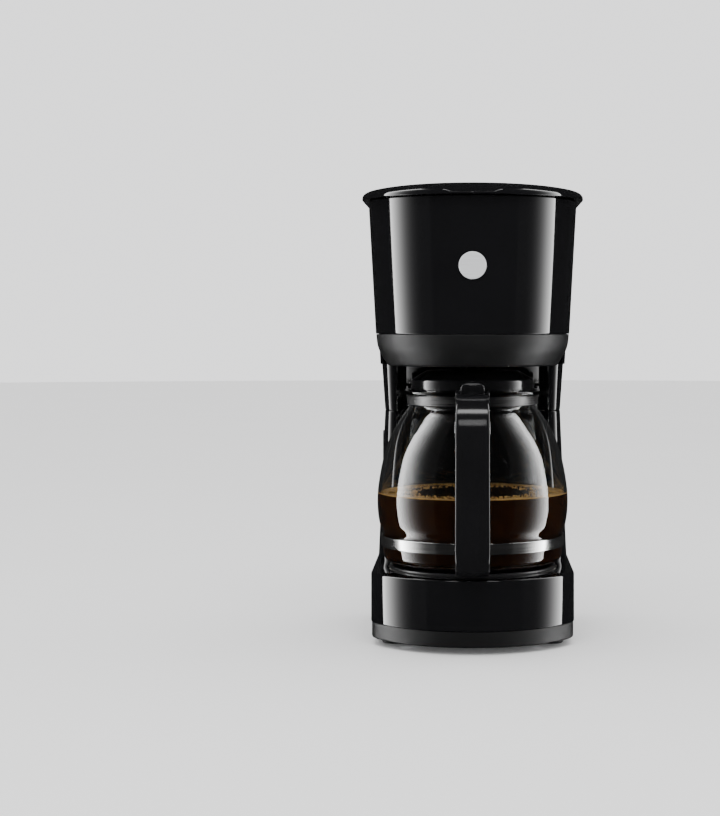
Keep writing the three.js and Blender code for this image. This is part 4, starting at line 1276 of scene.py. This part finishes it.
    def lid_plan(self, inset: float, _z: float) -> Array:
        """The lid: a half circle in front, straight sides, and a straight cut in front of the hinge."""
        half, rear = SHELL.rim_half - inset, self.hinge_y - 4.5 - inset
        return mirrored(
            chain(
                line((0, rear), (half - 3, rear), 12),
                arc(half - 3, rear - 3, 3, 90, 0, 5),
                line((half, rear - 3), (half, 0), 14),
                arc(0, 0, half, 0, -90, 60),
            )
        )

    def lid(self) -> None:
        """The lid: a short upright lip and a slow crown, a finger notch in front and a barrel behind.

        Rows run inwards from the lip: the crown is a smooth curve through knots of (inset, height).
        """
        bottom, shoulder, top = SHELL.head_top + 0.5, self.shoulder, self.lid_top
        lip = rounded([(7.4, bottom, 0), (0, bottom, 0.9), (0, bottom + 1.6, 0)], 4, closed=False)
        knots = [
            (0, bottom + 1.6),
            (0.3, bottom + 3.0),
            (1.7, shoulder + 0.6),
            (4.4, shoulder + 2.0),
            (12, top - 3.0),
            (25, top - 1.2),
            (42, top - 0.2),
            (78, top),
        ]
        crown = smooth_through(knots, 48)
        under = rounded(
            [
                (79, top - 4.4, 0),
                (16, top - 4.4, 1),
                (16, shoulder - 1.6, 1),
                (7.4, shoulder - 1.6, 1),
                (7.4, bottom, 0),
            ],
            3,
            closed=False,
        )
        section = np.concatenate([lip, crown[1:], under])
        plan = hubbed(self.lid_plan, 6.0, 40.0, 39.0)
        grid = carried(plan, section)
        self.notch(grid, np.arange(len(section)) < len(lip) + len(crown) - 1)
        shell = Surface.sheet("lid_shell", grid, True, True, sharp=50)
        self.add(shell, Slot.GLOSS_BLACK, Body.LID, "top_lid")
        hinge_line = np.array([(x, self.hinge_y, self.hinge_z) for x in np.linspace(-58, 58, 8)])
        barrel = Surface.tube("lid_barrel", hinge_line, 2.8, 32)
        self.add(barrel, Slot.GLOSS_BLACK, Body.LID, "top_lid", fillet=0.3)
        web = Surface.block(
            (-58, self.hinge_y - 5, self.hinge_z - 2.4), (58, self.hinge_y, self.hinge_z + 2), "lid_web"
        )
        self.add(web, Slot.GLOSS_BLACK, Body.LID, "top_lid", fillet=0.4)
        self.keep("lid_pin_left", Slot.ZINC_STEEL)
        self.keep("lid_pin_right", Slot.ZINC_STEEL)

    def notch(self, grid: Array, top: Array) -> None:
        """Presses a finger notch into the lid's front rim.

        Its floor is flat in the middle and climbs over 5 mm at each end. It fades out 12 mm in from the rim.
        """
        x, y, z = grid[..., 0], grid[..., 1], grid[..., 2]
        across = np.clip((self.notch_half - np.abs(x)) / 5.0, 0, 1)
        across = across**2 * (3 - 2 * across)
        inward = SHELL.rim_half - np.hypot(x, y)
        along = np.clip(1 - inward / 12.0, 0, 1) * (y < 0)
        high = np.clip((z - (SHELL.head_top + 2.0)) / 3.0, 0, 1)
        dip = self.notch_depth * across * along * high * top[None, :]
        grid[..., 2] = z - dip

    def brewing(self) -> None:
        """The basket, the drip valve with its seal, and the spring that the valve's shoulder presses."""
        cup = rounded(
            [
                (12.4, 203.4, 0.5),
                (12.4, 214, 1.0),
                (20, 216, 3.0),
                (50, 244, 6.0),
                (59, 300, 1.0),
                (59, 304.3, 0.4),
                (62.6, 304.3, 0.6),
                (62.6, 307, 0.8),
                (56.8, 307, 1.0),
                (56.8, 300, 1.0),
                (48, 245, 5.0),
                (19, 218, 3.0),
                (5, 216, 0.8),
                (5, 213.5, 0.4),
                (9.8, 213.5, 0.4),
                (9.8, 203.4, 0.4),
            ]
        )
        basket = Surface.revolved("brew_basket", cup, 144, sharp=50)
        basket = Surface.carve(basket, Surface.block((-13, 42, 290), (13, 70, 312)), sharp=50)
        self.add(basket, Slot.SATIN_BLACK, Body.BASKET, "filter_basket")
        button = rounded(
            [
                (0, 190.9, 0),
                (9.6, 190.9, 1.4),
                (11.8, 192.4, 0.8),
                (11.8, 194.2, 0.8),
                (8, 195.6, 1.2),
                (4.6, 197, 1.0),
                (4.6, 200, 0.5),
                (2.6, 200, 0.4),
                (2.6, 219.4, 0),
                (2.2, 219.4, 0),
                (2.2, 224.4, 0.8),
                (0, 224.4, 0),
            ],
            closed=False,
        )
        self.turned("valve_button", button, 64, Slot.SATIN_BLACK, Body.VALVE, "drip_valve", sharp=50)
        seal = rounded([(2.5, 219.8, 0.4), (6.6, 219.8, 0.6), (6.6, 222.2, 0.6), (2.5, 222.2, 0.4)])
        self.turned("valve_washer", seal, 64, Slot.SILICONE, Body.VALVE, "valve_seal")
        self.spring()

    def spring(self) -> None:
        """A helix of four turns whose rise slows at both ends."""
        low, high = (np.array(corner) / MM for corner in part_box("valve_spring"))
        wire = 0.5
        radius = (high[0] - low[0]) / 2 - wire
        turns, count = 4.0, 220
        share = np.linspace(0, 1, count)
        climb = share - np.sin(TAU * share) / TAU * 0.5
        angle = TAU * turns * share
        height = low[2] + wire + (high[2] - low[2] - 2 * wire) * climb
        path = np.column_stack([radius * np.cos(angle), radius * np.sin(angle), height])
        coil = Surface.tube("valve_coil", path, wire, 10)
        self.add(coil, Slot.ZINC_STEEL, Body.BASKET, "valve_spring")
        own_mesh(coil)


# ---- Carafe --------------------------------------------------------------------------------------------


@dataclass
class Carafe(Assembly):
    """The carafe: glass, coffee, collar, strap, handle and lid."""

    glass_bottom: float = 54.0
    glass_wall: float = 2.2
    neck: float = 46.0
    fill: float = 105.5
    handle_half: float = 11.75
    hinge_y: float = -60.0
    hinge_z: float = 176.6

    def build(self) -> None:
        """Builds the carafe from the glass outwards."""
        self.glass()
        self.coffee()
        self.froth()
        self.bands()
        self.handle()
        self.cover()

    def side(self, inset: float, count: int = 60) -> Array:
        """The glass wall's outside from its foot to the neck, a smooth curve, moved in along its normal."""
        knots = [
            (60.0, self.glass_bottom + 1.5),
            (64.4, 59.0),
            (65.2, 64.0),
            (65.15, 70.0),
            (65.3, 76.2),
            (66.2, 79.0),
            (67.8, 83.5),
            (69.3, 95.0),
            (68.9, 109.0),
            (63.9, 135.0),
            (58.4, 149.0),
            (50.5, 162.5),
            (46.4, 168.2),
        ]
        path = smooth_through(knots, count)
        along = np.gradient(path, axis=0)
        along /= np.linalg.norm(along, axis=1)[:, None]
        normal = np.column_stack([along[:, 1], -along[:, 0]])
        return path - inset * normal

    def glass(self) -> None:
        """A wall of even thickness with a rounded, rolled lip, turned about the axis."""
        bottom, wall, neck = self.glass_bottom, self.glass_wall, self.neck
        outer = rounded([(0, bottom, 0), (52, bottom, 4), (60.0, bottom + 1.5, 0)], 6, closed=False)
        lip = rounded(
            [
                (neck, 170.0, 0),
                (neck, 176.9, 1.6),
                (55.6, 177.4, 1.4),
                (55.6, 180.2, 1.4),
                (neck + 3, 180.0, 3.0),
                (neck - wall, 177.6, 2.5),
                (neck - wall, 170.0, 0),
            ],
            6,
            closed=False,
        )
        inner = self.side(wall)[::-1]
        inner = inner[(inner[:, 1] > bottom + 5.0) & (inner[:, 0] > neck - wall)]
        corners = [(inner[-1, 0], inner[-1, 1], 0), (58, bottom + 3.2, 3), (0, bottom + 2.8, 0)]
        floor = rounded(corners, 6, closed=False)
        profile = chain(outer, self.side(0.0), lip, inner, floor)
        self.turned("carafe_jug", profile, 192, Slot.CLEAR_GLASS, Body.CARAFE, "carafe_glass", sharp=60)

    def coffee(self) -> None:
        """The coffee: the glass's inside up to the fill line, reaching 0.2 mm into the wall."""
        bottom, wall = self.glass_bottom, self.glass_wall
        side = self.side(wall - 0.2)
        side = side[(side[:, 1] > bottom + 5.0) & (side[:, 1] < self.fill)]
        rim = np.interp(self.fill, side[:, 1], side[:, 0])
        profile = chain(
            np.array([(0.0, bottom + 2.6), (56.0, bottom + 2.8), (59.5, bottom + 3.6)]),
            side,
            np.array([(rim, self.fill), (rim - 1.5, self.fill - 0.2), (0.0, self.fill - 0.5)]),
        )
        self.turned("coffee", profile, 160, Slot.COFFEE, Body.CARAFE, sharp=60)

    def froth(self) -> None:
        """Froth on the coffee: a wavy ring against the glass, and bubbles that lie on it.

        The ring's inner edge and its height follow sums of sines of the angle. Bubbles are small domes at
        seeded random places, thick near the glass.
        """
        segments = 240
        angle = np.linspace(0, TAU, segments, endpoint=False)
        wall = self.side(self.glass_wall - 0.15)
        outer = np.interp(self.fill, wall[:, 1], wall[:, 0])
        wave = 0.5 * np.sin(5 * angle + 1) + 0.35 * np.sin(11 * angle) + 0.25 * np.sin(23 * angle + 2)
        width = 9 + 4 * wave
        share = np.linspace(0, 1, 14)[None, :]
        radius = outer - width[:, None] * share
        swell = 1.2 + 0.25 * wave[:, None]
        height = self.fill - 0.6 + swell * np.sqrt(np.clip(1 - share**2.5, 0, 1))
        top = np.stack([radius * np.cos(angle[:, None]), radius * np.sin(angle[:, None]), height], axis=-1)
        low = top[:, ::-1].copy()
        low[..., 2] = self.fill - 1.6
        grid = np.concatenate([top, low], axis=1)
        self.add(Surface.sheet("froth", grid, True, True), Slot.CREMA, Body.CARAFE)
        self.bubbles(outer)

    def bubbles(self, outer: float) -> None:
        """Many low domes, each from a grid of a few latitudes, made as one array."""
        rng = np.random.default_rng(SEED)
        count = 1100
        size = 0.3 + 0.6 * rng.uniform(0, 1, count) ** 2
        around = rng.uniform(0, TAU, count)
        radius = outer - size * 0.7 - 26 * rng.uniform(0, 1, count) ** 1.6
        middle = np.column_stack(
            [radius * np.cos(around), radius * np.sin(around), self.fill + 0.4 - 0.02 * (outer - radius)]
        )
        latitude = np.radians(np.array([-28.0, 8.0, 40.0, 68.0, 90.0]))[:, None]
        longitude = np.linspace(0, TAU, 12, endpoint=False)[None, :]
        dome = np.stack(
            [
                np.cos(latitude) * np.cos(longitude),
                np.cos(latitude) * np.sin(longitude),
                np.broadcast_to(np.sin(latitude) * 0.8, (5, 12)),
            ],
            axis=-1,
        ).reshape(-1, 3)
        points = middle[:, None] + size[:, None, None] * dome[None]
        quads = Surface.grid_faces(5, 12, False, True)
        faces = (quads[None] + (np.arange(count) * len(dome))[:, None, None]).reshape(-1, 4)
        base = np.arange(12)[None] + (np.arange(count) * len(dome))[:, None]
        obj = Surface.build("froth_bubbles", points, faces.tolist() + base.tolist(), 180)
        self.add(obj, Slot.CREMA, Body.CARAFE)

    def bands(self) -> None:
        """The collar under the lip and the strap round the foot: thin rings with rolled edges."""
        collar = rounded([(46.4, 169.6, 0.5), (47.8, 169.6, 0.7), (47.8, 176.4, 0.7), (46.4, 176.4, 0.5)])
        self.turned("steel_collar", collar, 160, Slot.BRUSHED_STEEL, Body.CARAFE, "carafe_collar")
        strap = rounded([(65.9, 67.6, 0.3), (66.8, 67.6, 0.45), (66.8, 75.4, 0.45), (65.9, 75.4, 0.3)])
        self.turned("steel_strap", strap, 160, Slot.POLISHED_STEEL, Body.CARAFE, "carafe_strap")

    def handle(self) -> None:
        """The handle: rounded sections between an outer and an inner side curve, swept from arm to foot.

        Stations run evenly along both curves. At each, the section is a rounded rectangle: its length joins
        the two curves and its width is the handle's. A narrow flat beside each corner keeps the faces flat.
        """
        top, bottom, front = 180.4, 57.0, -115.0
        outer = chain(
            np.array(
                [(-46.0, top - 5), (-56.0, top - 5), (-64.5, top - 5), (-68.0, top - 1.6), (-71.0, top)]
            ),
            line((-72, top), (-92, top), 8),
            arc(-92, top - 30, 23, 90, 180, 22, 30),
            line((front, top - 31), (front, bottom + 19), 24),
            arc(-92, bottom + 18, 23, 180, 270, 20, 18),
            line((-91, bottom), (-67.5, bottom), 8),
        )
        inner = chain(
            line((-46, top - 13), (-88, top - 13), 13),
            arc(-88, top - 31, 13, 90, 180, 22, 18),
            line((-101, top - 32), (-101, bottom + 28), 24),
            arc(-88, bottom + 27, 13, 180, 270, 20, 10),
            line((-87, bottom + 16.8), (-67.5, bottom + 16), 8),
        )
        stations = 96
        first, last = self.even(outer, stations), self.even(inner, stations)
        across = first - last
        length = np.linalg.norm(across, axis=1)
        half, edge, flat = self.handle_half, 2.0, 0.5
        turn = np.radians(np.linspace(0, 90, 6))
        x_low = np.concatenate([[half], half - edge * (1 - np.cos(turn)), [half - edge - flat]])
        low = np.concatenate([[edge + flat], edge * (1 - np.sin(turn)), [0.0]]) / length[:, None]
        x = np.concatenate([x_low[::-1], x_low])
        share = np.concatenate([low[:, ::-1], 1 - low], axis=1)
        x = np.concatenate([x, -x[::-1]])
        share = np.concatenate([share, share[:, ::-1]], axis=1)
        place = last[:, None] + share[..., None] * across[:, None]
        wide = np.broadcast_to(x, share.shape)[..., None]
        grid = np.concatenate([wide, place], axis=-1)
        body = Surface.sheet("carafe_grip", grid, False, True, sharp=50)
        slot = Surface.block((-9.4, -67.5, 172.0), (9.4, -57, 190))
        body = Surface.carve(body, slot, sharp=50)
        self.add(body, Slot.SATIN_BLACK, Body.CARAFE, "carafe_handle")
        self.ears()
        for node in ("handle_screw_upper", "handle_screw_lower", "carafe_lid_pin"):
            self.keep(node, Slot.ZINC_STEEL)

    @staticmethod
    def even(path: Array, count: int) -> Array:
        """Points at even shares of a path's length."""
        step = np.concatenate([[0.0], np.cumsum(np.linalg.norm(np.diff(path, axis=0), axis=1))])
        at = np.linspace(0, step[-1], count)
        return np.column_stack([np.interp(at, step, path[:, k]) for k in range(path.shape[1])])

    def ears(self) -> None:
        """Two upright ears with round tops, which hold the lid's pin."""
        path = chain(
            np.array([(-56.2, 172.0), (-56.2, 176.6)]),
            arc(-61.35, self.hinge_z, 5.15, 0, 180, 16),
            np.array([(-66.5, 172.0)]),
        )
        for side, name in ((1, "right"), (-1, "left")):
            faces = layers(path, (side * 10.8 - 1.2, side * 10.8 + 1.2), 0)
            ear = Surface.sheet(f"lid_ear_{name}", faces, False, True, sharp=30)
            self.add(ear, Slot.SATIN_BLACK, Body.CARAFE, "carafe_handle", fillet=0.4)

    def cover(self) -> None:
        """The carafe lid: a stepped disc with a funnel, a skirt, an arm and a thumb lever."""
        section = rounded(
            [
                (41, 172.4, 0.4),
                (43, 172.4, 0.5),
                (43, 180.6, 0.4),
                (45, 180.6, 0.6),
                (45, 188, 1.2),
                (33.4, 194.5, 1.6),
                (18.4, 194.5, 1.6),
                (13.4, 190.2, 1.2),
                (5, 189.6, 0.5),
                (5, 187.4, 0.3),
                (38, 187.4, 1.0),
                (41, 184, 1.0),
            ]
        )
        cap = Surface.revolved("pour_lid", section, 144, sharp=50)
        cap = Surface.carve(cap, Surface.block((-13, 0, 189.8), (13, 50, 200)), sharp=50)
        self.add(cap, Slot.SATIN_BLACK, Body.COVER, "carafe_lid")
        arm = Surface.block((-8, -62.2, 181.4), (8, -42.5, 184.6), "lever_arm")
        self.add(arm, Slot.SATIN_BLACK, Body.COVER, "carafe_lid", fillet=0.6)
        self.lever()
        hinge_line = np.array([(x, self.hinge_y, self.hinge_z) for x in np.linspace(-9, 9, 4)])
        barrel = Surface.tube("lever_barrel", hinge_line, 2.6, 32)
        self.add(barrel, Slot.SATIN_BLACK, Body.COVER, "carafe_lid", fillet=0.3)

    def lever(self) -> None:
        """The thumb lever: a pillow with a bowed front and a round top.

        With u round the outline and v from rim to middle, a point is the outline drawn in by v. Its depth is
        half the thickness times the root of one minus (1 - v) cubed, so the rim is round and the face full.
        """
        half, low, high, back, thick = 9.0, 172.9, 187.4, -60.6, 3.4
        outline = rounded([(-half, low, 1.5), (half, low, 1.5), (half, high, 5.5), (-half, high, 5.5)], 8)
        middle = np.array([0.0, (low + high) / 2])
        share = np.sin(np.linspace(0, np.pi / 2, 12))
        loops = []
        for sign in (-1, 1):
            order = share if sign < 0 else share[::-1]
            for v in order:
                flat = outline * (1 - v) + middle * v
                depth = np.sqrt(max(1 - (1 - v) ** 3, 0.0)) * thick / 2
                loops.append(np.insert(flat, 1, back - thick / 2 + sign * depth, axis=1))
        lever = Surface.sheet("thumb_lever", np.stack(loops), True, True, sharp=180)
        self.add(lever, Slot.SATIN_BLACK, Body.COVER, "carafe_lid")


# ---- Studio --------------------------------------------------------------------------------------------


@dataclass(frozen=True)
class Panel:
    """A tall glowing sheet, part of an upright cylinder round the machine, brightest along its outer edge.

    Angles are in degrees from the front; those on the left are negative. Peak is the brightest radiance.
    """

    name: str
    inner: float
    outer: float
    peak: float
    distance: float = 1500.0
    bottom: float = -1200.0
    top: float = 3000.0
    floor_share: float = 0.004
    power: float = 4.5


@dataclass(frozen=True)
class Softbox:
    """A plain rectangular area light that faces the machine. Lengths are in metres."""

    name: str
    place: tuple[float, float, float]
    width: float
    height: float
    radiance: float


class Studio:
    """The floor, the pale surroundings, the lights and the camera."""

    PANELS = (Panel("panel_left", -46.0, -101.0, 19.0), Panel("panel_right", 50.0, 101.0, 16.0))
    BOXES = (
        Softbox("overhead", (0.0, -0.8, 1.5), 1.2, 0.3, 8.0),
        Softbox("pill", (0.0, -1.25, 0.92), 0.034, 0.3, 8.0),
    )
    PALE = 1.75
    DIM = 0.02
    TARGET = Vector((0, 0, 0.2))
    LENS = 78.5
    SHIFT = (-0.138, -0.102)
    EYE = (0.0, AXIS_Y * MM - 1.3, 0.2275)

    def build(self) -> None:
        """Builds the set."""
        self.world()
        self.floor()
        for panel in self.PANELS:
            self.panel(panel)
        for box in self.BOXES:
            self.softbox(box)
        self.camera()

    def world(self) -> None:
        """Pale as a background and as a fill light, and nearly black in reflections and through glass.

        A ray that has already been scattered by a matt surface sees the pale one, whatever it passed since.
        """
        world = bpy.data.worlds.new("surroundings")
        bpy.context.scene.world = world
        world.use_nodes = True
        tree = world.node_tree
        tree.nodes.clear()
        output = tree.nodes.new("ShaderNodeOutputWorld")
        mix = tree.nodes.new("ShaderNodeMixShader")
        path = tree.nodes.new("ShaderNodeLightPath")
        for name, grey, socket in (("pale", self.PALE, 1), ("dim", self.DIM, 2)):
            background = tree.nodes.new("ShaderNodeBackground")
            background.name = name
            background.inputs["Color"].default_value = (grey, grey, grey * 1.01, 1)
            tree.links.new(background.outputs["Background"], mix.inputs[socket])
        either = tree.nodes.new("ShaderNodeMath")
        either.operation = "MAXIMUM"
        tree.links.new(path.outputs["Is Glossy Ray"], either.inputs[0])
        tree.links.new(path.outputs["Is Transmission Ray"], either.inputs[1])
        direct = tree.nodes.new("ShaderNodeMath")
        direct.operation = "LESS_THAN"
        direct.inputs[1].default_value = 0.5
        tree.links.new(path.outputs["Diffuse Depth"], direct.inputs[0])
        both = tree.nodes.new("ShaderNodeMath")
        both.operation = "MULTIPLY"
        tree.links.new(either.outputs["Value"], both.inputs[0])
        tree.links.new(direct.outputs["Value"], both.inputs[1])
        tree.links.new(both.outputs["Value"], mix.inputs["Fac"])
        tree.links.new(mix.outputs["Shader"], output.inputs["Surface"])

    @staticmethod
    def floor() -> None:
        """A large pale disc under the machine."""
        section = np.array([(0, -2.0), (6000, -2.0), (6000, -0.02), (0, -0.02)])
        obj = Surface.revolved("floor", section, 96, (0, -AXIS_Y))
        graph = Graph("pale_floor")
        graph.shader.inputs["Roughness"].default_value = 0.7
        graph.color(graph.blend(graph.noise(3.0), (0.88, 0.88, 0.875), (0.91, 0.91, 0.905)))
        obj.data.materials.append(graph.material)
        obj.visible_glossy = False
        obj.visible_transmission = False

    @staticmethod
    def panel(panel: Panel) -> None:
        """Adds a panel: x is the distance times the sine of the angle, and y is minus that times the cosine.

        Each point carries its share of the way from the inner to the outer edge. The glow is floor_share of
        the peak plus the rest times that share to a power.
        """
        angle = np.radians(np.linspace(panel.inner, panel.outer, 48))
        height = np.linspace(panel.bottom, panel.top, 2)
        across, up = np.meshgrid(angle, height, indexing="ij")
        grid = np.stack([panel.distance * np.sin(across), -panel.distance * np.cos(across), up], axis=-1)
        obj = Surface.sheet(panel.name, grid, False, False)
        mesh = obj.data
        place = np.empty(len(mesh.vertices) * 3)
        mesh.vertices.foreach_get("co", place)
        place = place.reshape(-1, 3) - (0.0, AXIS_Y * MM, 0.0)
        turned = np.degrees(np.arctan2(place[:, 0], -place[:, 1]))
        share = np.clip((turned - panel.inner) / (panel.outer - panel.inner), 0, 1)
        glow = panel.peak * (panel.floor_share + (1 - panel.floor_share) * share**panel.power)
        mesh.attributes.new("glow", "FLOAT", "POINT").data.foreach_set("value", glow)
        graph = Graph(panel.name)
        attribute = graph.tree.nodes.new("ShaderNodeAttribute")
        attribute.attribute_name = "glow"
        graph.shader.inputs["Base Color"].default_value = (0.0, 0.0, 0.0, 1.0)
        graph.shader.inputs["Specular IOR Level"].default_value = 0.0
        graph.shader.inputs["Emission Color"].default_value = (1.0, 1.0, 1.0, 1.0)
        graph.link(attribute.outputs["Fac"], graph.shader.inputs["Emission Strength"])
        mesh.materials.append(graph.material)
        obj.visible_camera = False
        obj.visible_diffuse = False
        obj.visible_shadow = False

    @staticmethod
    def softbox(box: Softbox) -> None:
        """Adds an area light; its power is pi times its area times its radiance."""
        light = bpy.data.lights.new(box.name, "AREA")
        light.shape = "RECTANGLE"
        light.size = box.width
        light.size_y = box.height
        light.energy = np.pi * box.width * box.height * box.radiance
        obj = bpy.data.objects.new(box.name, light)
        place = Vector(box.place)
        obj.location = place
        obj.rotation_euler = (Studio.TARGET - place).to_track_quat("-Z", "Y").to_euler()
        bpy.context.scene.collection.objects.link(obj)

    @staticmethod
    def camera() -> None:
        """A camera in front of the machine at three quarters of its height, level, with the view shifted."""
        data = bpy.data.cameras.new("front")
        data.lens = Studio.LENS
        data.sensor_width = 36.0
        data.shift_x, data.shift_y = Studio.SHIFT
        camera = bpy.data.objects.new("front", data)
        camera.location = Studio.EYE
        camera.rotation_euler = (np.pi / 2, 0, 0)
        bpy.context.scene.collection.objects.link(camera)
        bpy.context.scene.camera = camera


def main() -> None:
    """Builds every sub-assembly in order, then the set."""
    logging.basicConfig(level=logging.INFO, format="%(name)s: %(message)s")
    palette = Palette()
    for kind in (Base, Column, Head, Carafe):
        assembly = kind(palette)
        assembly.build()
        for name in assembly.made:
            LOG.info("%s made %s", kind.__name__.lower(), name)
    Studio().build()


if __name__ == "__main__":
    main()
